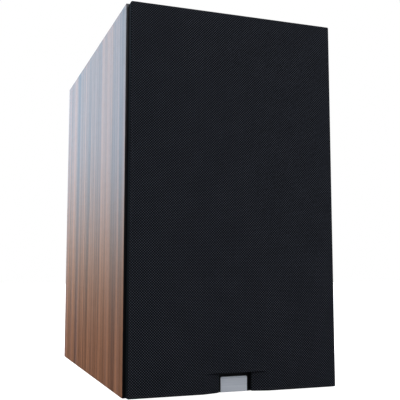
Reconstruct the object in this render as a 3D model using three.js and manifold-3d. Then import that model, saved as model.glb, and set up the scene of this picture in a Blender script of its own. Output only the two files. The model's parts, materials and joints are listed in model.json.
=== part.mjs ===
// A two-way bookshelf loudspeaker: a mitred cabinet, a front baffle with a woofer and a tweeter behind a
// pull-off cloth grille, and a back panel with a bass-reflex port and a recessed terminal cup.
// Units are millimetres. +Z is up, the front faces -Y, and the origin is the centre of the underside.
import * as THREE from "three";
import { mergeVertices } from "three/addons/utils/BufferGeometryUtils.js";
import Module from "manifold-3d";

const wasm = await Module();
wasm.setup();

// Driving dimensions
const WIDTH = 211;
const HEIGHT = 359;
const DEPTH = 326;
const WALL = 15;
const BAFFLE = 18;
const GAP = 0.3;

const GRILLE = { thickness: 9.5, sideInset: 2.3, endInset: 0.4, cloth: 0.6 };
const RAIL = { side: 14, bottom: 23, top: 14 };
const NOTCH = { halfWidth: 33, openingHalf: 15.5, height: 17.5, depth: 4.6 };
const BADGE = { width: 26.5, height: 13.9, thickness: 1.5 };
const HOLD = { x: 79, low: 27, high: 333, radius: 5, thickness: 2.5 };

const WOOFER = { z: 112, rim: 86, cutout: 72.4, rebate: 5.3, screwRing: 82.3, coil: 16 };
const TWEETER = { z: 268, rim: 62, cutout: 52, rebate: 4.3, screwRing: 57, dome: 12.7 };
const PORT = { z: 268, bore: 25, wall: 2.5, length: 130, mouth: 41, flange: 46, neck: 39.5 };
const CUP = { z: 95, width: 84, height: 62, depth: 23.2, flange: 10, flangeThickness: 2.5, wall: 2.5 };
const POST = { x: 19, stud: 2.9, socket: 2.1, knob: 6.5, knobLength: 17.5, washer: 1.2 };
const BOARD = { width: 100, height: 76, thickness: 1.6, back: -29.4 };
const LEAD = 1.8;

const FRONT = -DEPTH / 2;
const BACK = DEPTH / 2;
const INNER_X = WIDTH / 2 - WALL;
const BIG_SIDES = 24;
const SMALL_SIDES = 12;
const SCREW_SIDES = 8;

// Finishes
const finish = (color, roughness, metalness = 0) => () =>
  new THREE.MeshStandardMaterial({ color, roughness, metalness });
const walnut = finish(0x8b6350, 0.35);
const blackLacquer = finish(0x0d0e11, 0.3);
const rawBoard = finish(0xa58563, 0.85);
const cloth = finish(0x181b21, 0.9);
const framePlastic = finish(0x131416, 0.6);
const brushedMetal = finish(0xb4b6b8, 0.35, 1);
const magnetPlate = finish(0xc3c5c8, 0.25, 1);
const steel = finish(0x8f9296, 0.4, 1);
const ferrite = finish(0x2b2b2d, 0.7);
const paintedSteel = finish(0x17181a, 0.45, 0.4);
const conePulp = finish(0x1e1f22, 0.8);
const rubber = finish(0x101012, 0.7);
const spiderCloth = finish(0xb89a55, 0.9);
const kapton = finish(0x9c5a22, 0.4);
const softDome = finish(0x1a1a1d, 0.6);
const cupPlastic = finish(0x121315, 0.35);
const goldPlate = finish(0xd9b15a, 0.25, 1);
const redPlastic = finish(0xa3151a, 0.3);
const blackPlastic = finish(0x121214, 0.3);
const boardGreen = finish(0x2f5a3a, 0.5);
const copper = finish(0xb8693a, 0.35, 1);
const capacitorSleeve = finish(0x2c4a86, 0.35);
const leadSleeve = finish(0xb0552f, 0.5);
const polyester = finish(0xd8d8d2, 1);

// Solids and booleans
function toSolid(geometry) {
  const bare = geometry.clone();
  bare.deleteAttribute("normal");
  bare.deleteAttribute("uv");
  const merged = mergeVertices(bare, 1e-4);
  return new wasm.Manifold(new wasm.Mesh({
    numProp: 3,
    vertProperties: new Float32Array(merged.attributes.position.array),
    triVerts: new Uint32Array(merged.index.array),
  }));
}

function toGeometry(solid) {
  const { vertProperties, triVerts } = solid.getMesh();
  const geometry = new THREE.BufferGeometry();
  geometry.setAttribute("position", new THREE.BufferAttribute(vertProperties, 3));
  geometry.setIndex(new THREE.BufferAttribute(triVerts, 1));
  return geometry;
}

function cut(geometry, ...tools) {
  return toGeometry(tools.reduce((body, tool) => body.subtract(toSolid(tool)), toSolid(geometry)));
}

function join(geometry, ...others) {
  return toGeometry(others.reduce((body, other) => body.add(toSolid(other)), toSolid(geometry)));
}

// A box between two corners.
function block([x0, y0, z0], [x1, y1, z1]) {
  const box = new THREE.BoxGeometry(x1 - x0, y1 - y0, z1 - z0);
  return box.translate((x0 + x1) / 2, (y0 + y1) / 2, (z0 + z1) / 2);
}

// A disc or plug along Y.
function plug(radius, y0, y1, x = 0, z = 0, sides = BIG_SIDES) {
  return new THREE.CylinderGeometry(radius, radius, y1 - y0, sides).translate(x, (y0 + y1) / 2, z);
}

// A profile of [radius, y] points turned about the Y axis.
function turned(profile, sides = BIG_SIDES) {
  const points = profile.map(([radius, y]) => new THREE.Vector2(radius, y));
  if (THREE.ShapeUtils.area(points) < 0) {
    points.reverse();
  }
  const onAxis = points[0].x === 0 && points[points.length - 1].x === 0;
  if (!onAxis) {
    points.push(points[0].clone());
  }
  return new THREE.LatheGeometry(points, sides);
}

// An outline drawn in X and Z, extruded along Y.
function prism(shape, y0, y1, curveSegments = 4) {
  const solid = new THREE.ExtrudeGeometry(shape, { depth: y1 - y0, bevelEnabled: false, curveSegments });
  return solid.rotateX(Math.PI / 2).translate(0, y1, 0);
}

function outline(points) {
  return new THREE.Shape(points.map(([x, z]) => new THREE.Vector2(x, z)));
}

function roundedRectangle(width, height, radius) {
  const x = width / 2 - radius;
  const z = height / 2 - radius;
  const shape = new THREE.Shape();
  shape.absarc(x, z, radius, 0, Math.PI / 2);
  shape.absarc(-x, z, radius, Math.PI / 2, Math.PI);
  shape.absarc(-x, -z, radius, Math.PI, 1.5 * Math.PI);
  shape.absarc(x, -z, radius, 1.5 * Math.PI, 2 * Math.PI);
  return shape;
}

function ring(inner, outer, y0, y1, sides = BIG_SIDES) {
  return turned([[inner, y0], [outer, y0], [outer, y1], [inner, y1]], sides);
}

function part(name, geometry, material, position = [0, 0, 0]) {
  const mesh = new THREE.Mesh(geometry, material());
  mesh.name = name;
  mesh.position.set(...position);
  return mesh;
}

// Points spaced round a circle in X and Z, starting at an angle.
function aroundCircle(count, radius, startDegrees) {
  return Array.from({ length: count }, (_, i) => {
    const angle = THREE.MathUtils.degToRad(startDegrees + (360 / count) * i);
    return [radius * Math.cos(angle), radius * Math.sin(angle)];
  });
}

// A self-tapping screw with its head's face at y = 0 and its shank towards +Y.
function screw(head, headHeight, shank, length) {
  return turned([[0, 0], [head, 0], [head, headHeight * 0.6], [shank, headHeight], [shank, length - shank],
    [0, length]], SCREW_SIDES);
}

const cornerHolds = [[-HOLD.x, HOLD.low], [HOLD.x, HOLD.low], [-HOLD.x, HOLD.high], [HOLD.x, HOLD.high]];
const wooferScrews = aroundCircle(4, WOOFER.screwRing, 45);
const tweeterScrews = aroundCircle(3, TWEETER.screwRing, 90);

// Cabinet: four mitred panels folded round the baffle and the back
function sidePanel(side) {
  const outer = side * WIDTH / 2;
  const inner = side * INNER_X;
  return prism(outline([[outer, 0], [outer, HEIGHT], [inner, HEIGHT - WALL], [inner, WALL]]), FRONT, BACK);
}

function levelPanel(outerZ, innerZ) {
  const mitreGap = GAP * Math.SQRT2;
  const outerX = WIDTH / 2 - mitreGap;
  const innerX = INNER_X - mitreGap;
  const section = outline([[-outerX, outerZ], [outerX, outerZ], [innerX, innerZ], [-innerX, innerZ]]);
  return prism(section, FRONT, BACK);
}

function insidePanel(y0, y1) {
  const x = INNER_X - GAP;
  return block([-x, y0, WALL + GAP], [x, y1, HEIGHT - WALL - GAP]);
}

function baffle() {
  const drivers = [
    plug(WOOFER.cutout, FRONT - 1, FRONT + BAFFLE + 1, 0, WOOFER.z),
    plug(WOOFER.rim + GAP, FRONT - 1, FRONT + WOOFER.rebate, 0, WOOFER.z),
    plug(TWEETER.cutout, FRONT - 1, FRONT + BAFFLE + 1, 0, TWEETER.z),
    plug(TWEETER.rim + GAP, FRONT - 1, FRONT + TWEETER.rebate, 0, TWEETER.z),
  ];
  const pilots = [
    ...wooferScrews.map(([x, z]) => plug(2.3, FRONT, FRONT + BAFFLE + 1, x, z + WOOFER.z, SCREW_SIDES)),
    ...tweeterScrews.map(([x, z]) => plug(2, FRONT, FRONT + BAFFLE + 1, x, z + TWEETER.z, SCREW_SIDES)),
  ];
  const pocketDepth = HOLD.thickness + 2 * GAP;
  const pockets = cornerHolds.map(([x, z]) =>
    plug(HOLD.radius + GAP, FRONT - 1, FRONT + pocketDepth, x, z, SMALL_SIDES));
  return cut(insidePanel(FRONT, FRONT + BAFFLE), ...drivers, ...pilots, ...pockets);
}

function cupScrewPlaces() {
  const x = (CUP.width + CUP.flange) / 2;
  const z = (CUP.height + CUP.flange) / 2;
  return [[-x, -z], [x, -z], [-x, z], [x, z]];
}

function backPanel() {
  const cupOutline = roundedRectangle(CUP.width + 2 * GAP, CUP.height + 2 * GAP, 6);
  const cupHole = prism(cupOutline, BACK - WALL - 1, BACK + 1);
  const screwHoles = cupScrewPlaces().map(([x, z]) =>
    plug(1.9, BACK - WALL - 1, BACK + 1, x, z + CUP.z, SCREW_SIDES));
  return cut(insidePanel(BACK - WALL, BACK), cupHole.translate(0, 0, CUP.z),
    plug(PORT.neck + GAP, BACK - WALL - 1, BACK + 1, 0, PORT.z), ...screwHoles);
}

// A shelf between the two drivers with a window each side of its middle rib.
function windowBrace() {
  const x = INNER_X - GAP;
  const y0 = FRONT + BAFFLE + GAP;
  const y1 = BACK - WALL - GAP;
  const z0 = 208;
  const z1 = z0 + 12;
  const rim = 22;
  const rib = 9;
  const windows = [-1, 1].map((side) => {
    const near = Math.min(side * rib, side * (x - rim));
    const far = Math.max(side * rib, side * (x - rim));
    return block([near, y0 + rim, z0 - 1], [far, y1 - rim, z1 + 1]);
  });
  return cut(block([-x, y0, z0], [x, y1, z1]), ...windows);
}

function badge() {
  const plate = prism(roundedRectangle(BADGE.width, BADGE.height, 1.2), 0, BADGE.thickness);
  return plate.translate(0, FRONT - GAP - BADGE.thickness, GAP + BADGE.height / 2);
}

const cabinet = new THREE.Group();
cabinet.add(
  part("left_side_panel", sidePanel(-1), walnut),
  part("right_side_panel", sidePanel(1), walnut),
  part("top_panel", levelPanel(HEIGHT, HEIGHT - WALL), walnut),
  part("bottom_panel", levelPanel(0, WALL), walnut),
  part("front_baffle", baffle(), blackLacquer),
  part("back_panel", backPanel(), walnut),
  part("window_brace", windowBrace(), rawBoard),
  part("badge_plate", badge(), brushedMetal),
  part("damping_wadding", block([-86, -80, WALL + GAP], [86, 125, 44]), polyester),
);
cornerHolds.forEach(([x, z], i) => {
  const keeper = plug(HOLD.radius, GAP, HOLD.thickness + GAP, 0, 0, SMALL_SIDES);
  cabinet.add(part(`baffle_keeper_${i + 1}`, keeper, steel, [x, FRONT, z]));
});

// Grille: a plastic frame with cloth stretched over it, scooped at the bottom round the badge
function notchDepth(x) {
  const run = NOTCH.halfWidth - NOTCH.openingHalf;
  const inward = THREE.MathUtils.clamp((NOTCH.halfWidth - Math.abs(x)) / run, 0, 1);
  return NOTCH.depth * (0.5 - 0.5 * Math.cos(Math.PI * inward));
}

// The scoop's plan outline, grown by an inset and extruded upwards.
function notchTool(inset) {
  const front = FRONT - GRILLE.thickness + inset;
  const steps = 8;
  const half = [];
  for (let i = 0; i <= steps; i += 1) {
    const x = NOTCH.halfWidth - (i / steps) * (NOTCH.halfWidth - NOTCH.openingHalf);
    half.push([x + inset, front + notchDepth(x)]);
  }
  const through = FRONT + 2;
  const right = [[NOTCH.halfWidth + inset, front - 2], ...half, [NOTCH.openingHalf + inset, through]];
  const left = right.map(([x, y]) => [-x, y]).reverse();
  const depth = NOTCH.height + inset + 5;
  const tool = new THREE.ExtrudeGeometry(outline([...right, ...left]), { depth, bevelEnabled: false });
  return tool.translate(0, 0, -5);
}

// The grille's outside, or with an inset what is inside its cloth, from its face back to a given depth.
function grilleBlock(inset, backY) {
  const x = WIDTH / 2 - GRILLE.sideInset - inset;
  const z = GRILLE.endInset + inset;
  return cut(block([-x, FRONT - GRILLE.thickness + inset, z], [x, backY, HEIGHT - z]), notchTool(inset));
}

function grilleCloth() {
  return cut(grilleBlock(0, FRONT - 2 * GAP), grilleBlock(GRILLE.cloth, FRONT + 5));
}

// One window of the frame, with its corners cut off towards the magnets.
function frameWindow(z0, z1, chamferLow, chamferHigh) {
  const x = WIDTH / 2 - GRILLE.sideInset - RAIL.side;
  const corners = [[x - chamferLow, z0], [x, z0 + chamferLow], [x, z1 - chamferHigh], [x - chamferHigh, z1]];
  const mirrored = corners.map(([px, pz]) => [-px, pz]).reverse();
  return prism(outline([...corners, ...mirrored]), FRONT - GRILLE.thickness - 1, FRONT + 1);
}

function grilleFrame() {
  const inset = GRILLE.cloth + GAP;
  const crossRail = 202;
  const pockets = cornerHolds.map(([x, z]) =>
    plug(HOLD.radius + GAP, FRONT - 3 * GAP - HOLD.thickness, FRONT + 1, x, z, SMALL_SIDES));
  return cut(grilleBlock(inset, FRONT - GAP),
    frameWindow(RAIL.bottom, crossRail - 5, 34, 8),
    frameWindow(crossRail + 5, HEIGHT - RAIL.top, 8, 36), ...pockets);
}

const grille = new THREE.Group();
grille.add(
  part("grille_frame", grilleFrame(), framePlastic),
  part("grille_cloth", grilleCloth(), cloth),
);
cornerHolds.forEach(([x, z], i) => {
  const magnet = plug(HOLD.radius, -HOLD.thickness - 2 * GAP, -2 * GAP, 0, 0, SMALL_SIDES);
  grille.add(part(`grille_magnet_${i + 1}`, magnet, magnetPlate, [x, FRONT, z]));
});

// Woofer: local y = 0 is the face of its rim, and +Y runs back to the magnet
function wooferBasket() {
  const shell = turned([[78.6, 0], [WOOFER.rim, 0], [WOOFER.rim, 5], [72, 5], [58.5, 33], [51, 33],
    [51, 44], [20, 44], [20, 42], [49, 42], [49, 31], [56.6, 31], [70, 5], [70, 1], [78.6, 1]]);
  const windows = Array.from({ length: 6 }, (_, i) => {
    const slot = new THREE.BoxGeometry(38, 17, 34).translate(0, 19, 66);
    return slot.rotateY((Math.PI / 3) * i + Math.PI / 6);
  });
  const holes = wooferScrews.flatMap(([x, z]) => [
    plug(2.3, -1, 6, x, z, SCREW_SIDES),
    plug(3.4, -1, 2.4, x, z, SCREW_SIDES),
  ]);
  const terminalTag = block([-66, 24, -5], [-56, 34, 5]);
  return cut(join(cut(shell, ...windows), terminalTag), ...holes);
}

// A soft ring: a half-round roll that stands forward, with a flat lip on each side to glue it by.
function halfRoll({ centre, halfWidth, crest, thickness, lipInner, lipOuter, lipFace, steps }) {
  const over = [];
  const under = [];
  for (let i = 0; i <= steps; i += 1) {
    const angle = Math.PI * (i / steps);
    const across = -Math.cos(angle);
    const rise = Math.sin(angle);
    over.push([centre + halfWidth * across, lipFace - crest * rise]);
    under.push([centre + (halfWidth - thickness) * across, lipFace + thickness - crest * rise]);
  }
  return turned([[lipInner, lipFace], ...over, [lipOuter, lipFace], [lipOuter, lipFace + thickness],
    ...under.reverse(), [lipInner, lipFace + thickness]]);
}

function wooferSpider() {
  const inner = 20;
  const outer = 49;
  const folds = 6;
  const top = [[WOOFER.coil + 0.6, 30.4]];
  for (let i = 0; i <= folds; i += 1) {
    top.push([inner + (outer - inner) * (i / folds), 30 + (i % 2 ? -1.3 : 0)]);
  }
  top.push([56, 30]);
  const bottom = top.map(([radius, y]) => [radius, y + 0.7]).reverse();
  return turned([...top, ...bottom]);
}

function wooferCone() {
  const front = [[16.6, 22], [30, 15.2], [45, 7.6], [56.5, 1], [60.8, 1]];
  const back = front.map(([radius, y]) => [radius, y + 1]).reverse();
  return turned([...front, ...back]);
}

function dustCap() {
  const outside = [[0, 12.5], [7, 13.2], [13, 15.3], [17.5, 18.1], [19.5, 19.6]];
  const inside = [[18.7, 19.8], [12.6, 16.1], [6.8, 13.9], [0, 13.2]];
  return turned([...outside, ...inside]);
}

function wooferPole() {
  const pole = WOOFER.coil - 1;
  return turned([[4, 44.3], [pole, 44.3], [pole, 64.9], [42, 64.9], [42, 69.9], [4, 69.9]]);
}

const woofer = new THREE.Group();
woofer.position.set(0, FRONT, WOOFER.z);
woofer.add(
  part("woofer_basket", wooferBasket(), paintedSteel),
  part("woofer_surround", halfRoll({ centre: 66, halfWidth: 5, crest: 4.5, thickness: 0.7, lipInner: 57,
    lipOuter: 78.2, lipFace: 0, steps: 6 }), rubber),
  part("woofer_spider", wooferSpider(), spiderCloth),
  part("woofer_cone", wooferCone(), conePulp),
  part("woofer_dust_cap", dustCap(), conePulp),
  part("woofer_voice_coil", ring(WOOFER.coil - 0.6, WOOFER.coil + 0.1, 20, 53), kapton),
  part("woofer_top_plate", ring(WOOFER.coil + 0.6, 42, 44.3, 49.3), steel),
  part("woofer_magnet", ring(21, 47, 49.6, 64.6), ferrite),
  part("woofer_back_plate", wooferPole(), steel),
);
wooferScrews.forEach(([x, z], i) => {
  woofer.add(part(`woofer_screw_${i + 1}`, screw(3, 1.9, 1.9, 17), paintedSteel, [x, GAP / 2, z]));
});

// Tweeter: the same local frame, with its dome in the throat of a shallow waveguide
function waveguide() {
  const throat = 16.5;
  const mouth = 52;
  const steps = 5;
  const horn = [];
  for (let i = 0; i <= steps; i += 1) {
    const radius = mouth - (mouth - throat) * (i / steps);
    horn.push([radius, 12.5 * (1 - (radius - throat) / (mouth - throat)) ** 1.7]);
  }
  const shell = turned([[TWEETER.rim, 0], ...horn, [throat, 14.5], [40, 14.5], [46, 9], [51, 4],
    [TWEETER.rim, 4]]);
  const tag = block([-5, 6, -46], [5, 17, -41.5]);
  const holes = tweeterScrews.flatMap(([x, z]) => [
    plug(2, -1, 6, x, z, SCREW_SIDES),
    plug(3.8, -1, 2.3, x, z, SCREW_SIDES),
  ]);
  return cut(join(shell, tag), ...holes);
}

function tweeterDome() {
  const base = 15.6;
  const steps = 4;
  const outside = [];
  const inside = [];
  for (let i = 0; i <= steps; i += 1) {
    const angle = (Math.PI / 2) * (i / steps);
    outside.push([TWEETER.dome * Math.sin(angle), base - 6 * Math.cos(angle)]);
    inside.push([(TWEETER.dome - 0.4) * Math.sin(angle), base + 0.2 - 5.8 * Math.cos(angle)]);
  }
  return turned([...outside, [TWEETER.dome, 22], [TWEETER.dome - 0.4, 22], ...inside.reverse()]);
}

function tweeterPole() {
  return turned([[0, 16.4], [11.9, 16.4], [11.9, 29.2], [33, 29.2], [33, 33.2], [0, 33.2]]);
}

const tweeter = new THREE.Group();
tweeter.position.set(0, FRONT, TWEETER.z);
tweeter.add(
  part("tweeter_waveguide", waveguide(), framePlastic),
  part("tweeter_surround", halfRoll({ centre: 14.6, halfWidth: 1.6, crest: 1, thickness: 0.4,
    lipInner: 12.99, lipOuter: 20, lipFace: 14.8, steps: 4 }), softDome),
  part("tweeter_dome", tweeterDome(), softDome),
  part("tweeter_top_plate", ring(13.1, 33, 15.6, 18.6), steel),
  part("tweeter_magnet", ring(18, 36, 18.9, 28.9), ferrite),
  part("tweeter_back_plate", tweeterPole(), steel),
);
tweeterScrews.forEach(([x, z], i) => {
  tweeter.add(part(`tweeter_screw_${i + 1}`, screw(3.4, 1.9, 1.6, 15), paintedSteel, [x, GAP / 2, z]));
});

// Port: a flared tube through the back panel
function portTube() {
  const outer = PORT.bore + PORT.wall;
  const flareStart = -15;
  const flareFace = 3;
  const steps = 5;
  const flare = [];
  for (let i = 0; i <= steps; i += 1) {
    const angle = (Math.PI / 2) * (i / steps);
    flare.push([PORT.mouth - (PORT.mouth - PORT.bore) * Math.cos(angle),
      flareStart + (flareFace - flareStart) * Math.sin(angle)]);
  }
  return turned([[PORT.flange, flareFace], [PORT.flange, GAP], [PORT.neck, GAP], [PORT.neck, -8],
    [outer + 3, -17], [outer, -24], [outer, 10 - PORT.length], [outer + 5, -PORT.length],
    [PORT.bore + 5, -PORT.length], [PORT.bore, 11 - PORT.length], ...flare]);
}

const port = new THREE.Group();
port.position.set(0, BACK, PORT.z);
port.add(part("port_tube", portTube(), blackPlastic));

// Terminal cup: local y = 0 is the back panel's face, with two screw-down posts on the cup's floor
const CUP_FLOOR = CUP.wall - CUP.depth;

function terminalCup() {
  const flange = prism(roundedRectangle(CUP.width + 2 * CUP.flange, CUP.height + 2 * CUP.flange, 8), GAP,
    GAP + CUP.flangeThickness);
  const body = prism(roundedRectangle(CUP.width, CUP.height, 6), -CUP.depth, GAP + 1);
  const inside = roundedRectangle(CUP.width - 2 * CUP.wall, CUP.height - 2 * CUP.wall, 4);
  const hollow = prism(inside, CUP_FLOOR, 10);
  const pillars = [[-38, -27], [38, -27], [-38, 27], [38, 27]].map(([x, z]) =>
    plug(2.5, BOARD.back + GAP, 1 - CUP.depth, x, z, SMALL_SIDES));
  const postHoles = [-1, 1].map((side) =>
    plug(POST.stud + 0.4, -CUP.depth - 1, CUP_FLOOR + 1, side * POST.x, 0, SMALL_SIDES));
  const screwHoles = cupScrewPlaces().map(([x, z]) => plug(1.9, -1, 10, x, z, SCREW_SIDES));
  return cut(join(flange, body, ...pillars), hollow, ...postHoles, ...screwHoles);
}

// A gilt stud with a shoulder in front of the cup's floor, a nut behind it and a plug socket in its end.
function terminalPost() {
  const shoulder = CUP_FLOOR + GAP;
  const end = -5;
  const stud = turned([[0, -33], [POST.stud, -33], [POST.stud, shoulder], [6, shoulder], [6, shoulder + 3],
    [POST.stud, shoulder + 3], [POST.stud, end], [POST.socket, end], [POST.socket, end - 11], [0, end - 11]],
  SMALL_SIDES);
  const nut = plug(5.5, -CUP.depth - 4, -CUP.depth - GAP, 0, 0, 6);
  return join(stud, nut);
}

// A fluted knob: a circle with eight shallow waves.
function knob() {
  const flutes = 8;
  const points = [];
  for (let i = 0; i < flutes * 4; i += 1) {
    const angle = (2 * Math.PI * i) / (flutes * 4);
    const radius = POST.knob - 0.35 * (1 - Math.cos(flutes * angle));
    points.push([radius * Math.cos(angle), radius * Math.sin(angle)]);
  }
  const shape = outline(points);
  const bore = new THREE.Path().absarc(0, 0, POST.stud + 0.35, 0, 2 * Math.PI, true);
  shape.holes.push(bore);
  return prism(shape, 0, POST.knobLength, 8);
}

const terminals = new THREE.Group();
terminals.position.set(0, BACK, CUP.z);
terminals.add(part("terminal_cup", terminalCup(), cupPlastic));
const washerY = CUP_FLOOR + GAP + 3 + GAP;
const postSides = [["red", 1, redPlastic], ["black", -1, blackPlastic]];
postSides.forEach(([colour, side, plastic]) => {
  const x = side * POST.x;
  terminals.add(
    part(`${colour}_post`, terminalPost(), goldPlate, [x, 0, 0]),
    part(`${colour}_washer`, ring(POST.stud + 0.4, POST.knob, 0, POST.washer, SMALL_SIDES), goldPlate,
      [x, washerY, 0]),
    part(`${colour}_knob`, knob(), plastic, [x, washerY + POST.washer + GAP, 0]),
  );
});
cupScrewPlaces().forEach(([x, z], i) => {
  const fastener = part(`cup_screw_${i + 1}`, screw(3.2, 2, 1.6, 16), paintedSteel,
    [x, 2 * GAP + CUP.flangeThickness + 2, z]);
  fastener.rotation.z = Math.PI;
  terminals.add(fastener);
});

// Crossover: a board on the cup's pillars, its parts on the side that faces the woofer
function crossoverBoard() {
  const plate = block([-BOARD.width / 2, BOARD.back - BOARD.thickness, -BOARD.height / 2],
    [BOARD.width / 2, BOARD.back, BOARD.height / 2]);
  const tails = [-1, 1].map((side) =>
    plug(POST.stud + 0.4, BOARD.back - 5, BOARD.back + 5, side * POST.x, 0, SMALL_SIDES));
  return cut(plate, ...tails);
}

function capacitor(radius, length) {
  const half = length / 2;
  const can = turned([[0, -half], [radius - 1, -half], [radius, 1 - half], [radius, half - 1],
    [radius - 1, half], [0, half]], SMALL_SIDES);
  return can.rotateZ(Math.PI / 2);
}

const boardFace = BOARD.back - BOARD.thickness - GAP;
const crossover = new THREE.Group();
crossover.position.copy(terminals.position);
crossover.add(
  part("crossover_board", crossoverBoard(), boardGreen),
  part("woofer_inductor", ring(8, 17, -18, 0, 16), copper, [-30, boardFace, -19]),
  part("tweeter_inductor", ring(6, 13, -13, 0, 16), copper, [32, boardFace, 22]),
  part("tweeter_capacitor", capacitor(9, 36), capacitorSleeve, [20, boardFace - 9, -25]),
  part("woofer_capacitor", capacitor(7, 30), capacitorSleeve, [-22, boardFace - 7, 25]),
);

// Twin leads from the board to each driver's tag
function lead(points, steps) {
  const path = new THREE.CatmullRomCurve3(points.map((p) => new THREE.Vector3(...p)), false, "centripetal");
  const section = new THREE.Shape().absarc(0, 0, LEAD, 0, 2 * Math.PI);
  const options = { steps, extrudePath: path, curveSegments: 4, bevelEnabled: false };
  return new THREE.ExtrudeGeometry(section, options);
}

const leadStart = BACK + boardFace;
const wooferRoute = [[-46, leadStart, 112], [-47, 118, 113], [-62, 95, 116], [-74, 60, 116], [-76, 0, 112],
  [-74, -60, 110], [-66, -105, 112], [-61, -120, 112], [-61, FRONT + 34 + GAP, 112]];
const tweeterRoute = [[4, leadStart, 125], [4, 120, 126], [14, 104, 145], [28, 80, 180], [32, 55, 210],
  [28, 20, 226], [12, -40, 227], [2, -105, 225], [0, -130, 224.3], [0, FRONT + 17 + GAP, 224.3]];
const leads = new THREE.Group();
leads.add(
  part("woofer_lead", lead(wooferRoute, 24), leadSleeve),
  part("tweeter_lead", lead(tweeterRoute, 28), leadSleeve),
);

const speaker = new THREE.Group();
speaker.name = "bookshelf_speaker";
speaker.add(cabinet, grille, woofer, tweeter, port, terminals, crossover, leads);

export default speaker;
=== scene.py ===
# %% The frame
import json
import math

import bmesh
import bpy
import numpy as np
from mathutils import Matrix, Vector

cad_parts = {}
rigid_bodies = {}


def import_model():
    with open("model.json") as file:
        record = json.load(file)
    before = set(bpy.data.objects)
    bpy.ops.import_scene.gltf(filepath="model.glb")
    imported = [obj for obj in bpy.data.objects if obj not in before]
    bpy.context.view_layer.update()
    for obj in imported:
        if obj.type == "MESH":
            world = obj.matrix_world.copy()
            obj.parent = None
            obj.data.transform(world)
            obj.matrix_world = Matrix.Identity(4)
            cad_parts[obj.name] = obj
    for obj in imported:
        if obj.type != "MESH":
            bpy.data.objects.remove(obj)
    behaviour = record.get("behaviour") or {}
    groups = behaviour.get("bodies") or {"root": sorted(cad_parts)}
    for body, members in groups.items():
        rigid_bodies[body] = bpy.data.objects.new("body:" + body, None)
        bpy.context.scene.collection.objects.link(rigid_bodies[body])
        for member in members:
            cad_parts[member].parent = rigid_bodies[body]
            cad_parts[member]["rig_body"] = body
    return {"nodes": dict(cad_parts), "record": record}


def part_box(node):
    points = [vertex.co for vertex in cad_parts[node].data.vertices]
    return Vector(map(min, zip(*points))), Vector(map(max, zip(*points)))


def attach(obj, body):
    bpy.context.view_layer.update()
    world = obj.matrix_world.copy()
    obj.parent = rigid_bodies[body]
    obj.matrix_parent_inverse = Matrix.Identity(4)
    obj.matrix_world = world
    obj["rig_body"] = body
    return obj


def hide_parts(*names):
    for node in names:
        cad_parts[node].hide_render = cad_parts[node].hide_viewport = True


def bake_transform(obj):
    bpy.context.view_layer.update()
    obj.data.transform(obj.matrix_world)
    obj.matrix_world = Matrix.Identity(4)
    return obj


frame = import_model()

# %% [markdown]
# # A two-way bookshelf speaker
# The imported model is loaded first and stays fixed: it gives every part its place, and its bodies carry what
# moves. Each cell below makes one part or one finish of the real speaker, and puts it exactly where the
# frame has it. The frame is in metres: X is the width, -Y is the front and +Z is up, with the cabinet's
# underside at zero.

MM = 0.001
scene = bpy.context.scene
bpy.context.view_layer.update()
slot_of = {part["node"]: part["material_slot"] for part in frame["record"]["subparts"]}
cabinet_low, cabinet_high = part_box("left_side_panel")
FRONT, BACK, TOP = cabinet_low.y, cabinet_high.y, cabinet_high.z

# %% [markdown]
# ## The camera and the studio
# The speaker is seen from its front left, from a little above its foot, with a lens a bit longer than
# normal. A white room is the plainest studio: the camera sees white all round, and soft light comes from
# everywhere. What polished surfaces mirror is set apart from that, because a real studio has dark floors and
# bright screens: a pale screen stands behind the speaker, and it is what makes the walnut side fade to a
# cool sheen. The lamp that lights the side is kept out of reflections, so that it leaves no patch on that
# sheen.

# %% The camera
lens = bpy.data.cameras.new("camera")
lens.sensor_width = 36
lens.lens = 61.83
lens.clip_start, lens.clip_end = 0.05, 30
TILT, TURN = 0.104806, -0.346579  # in radians: up from level, and to the right of straight ahead
camera = bpy.data.objects.new("camera", lens)
camera.location = (-0.25054, -0.76595, 0.11014)
camera.rotation_euler = (math.radians(90) + TILT, 0, TURN)
scene.collection.objects.link(camera)
scene.camera = camera
scene.view_settings.view_transform = "Standard"

# %% [markdown]
# ## Small helpers for shader nodes
# A material is a tree of nodes. These helpers add one node at a time and fill its inputs with a number or a
# link, so that the finishes further down read like recipes instead of lists of sockets.

# %% Helpers for nodes
def fill(tree, socket, value):
    """Links a socket to an output, or gives it a plain value."""
    if isinstance(value, bpy.types.NodeSocket):
        tree.links.new(value, socket)
    else:
        socket.default_value = value


def node(tree, kind, settings=None, **inputs):
    """Adds a shader node with its options, and inputs by name."""
    made = tree.nodes.new("ShaderNode" + kind)
    for option, value in (settings or {}).items():
        setattr(made, option, value)
    for name, value in inputs.items():
        fill(tree, made.inputs[name.replace("_", " ")], value)
    return made


def calc(tree, operation, *values):
    """One step of arithmetic."""
    made = node(tree, "Math", {"operation": operation})
    for socket, value in zip(made.inputs, values):
        fill(tree, socket, value)
    return made.outputs[0]


def times(tree, first, second):
    """One value multiplied by another."""
    return calc(tree, "MULTIPLY", first, second)


def plus(tree, first, second):
    """Two values added together."""
    return calc(tree, "ADD", first, second)


def minus(tree, first, second):
    """The first value less the second."""
    return calc(tree, "SUBTRACT", first, second)


def over(tree, first, second):
    """The first value divided by the second."""
    return calc(tree, "DIVIDE", first, second)


def mixed(tree, share, first, second):
    """Blends two colours by a share from 0 to 1."""
    made = node(tree, "Mix", {"data_type": "RGBA"})
    for index, value in ((0, share), (6, first), (7, second)):
        fill(tree, made.inputs[index], value)
    return made.outputs[2]


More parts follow.
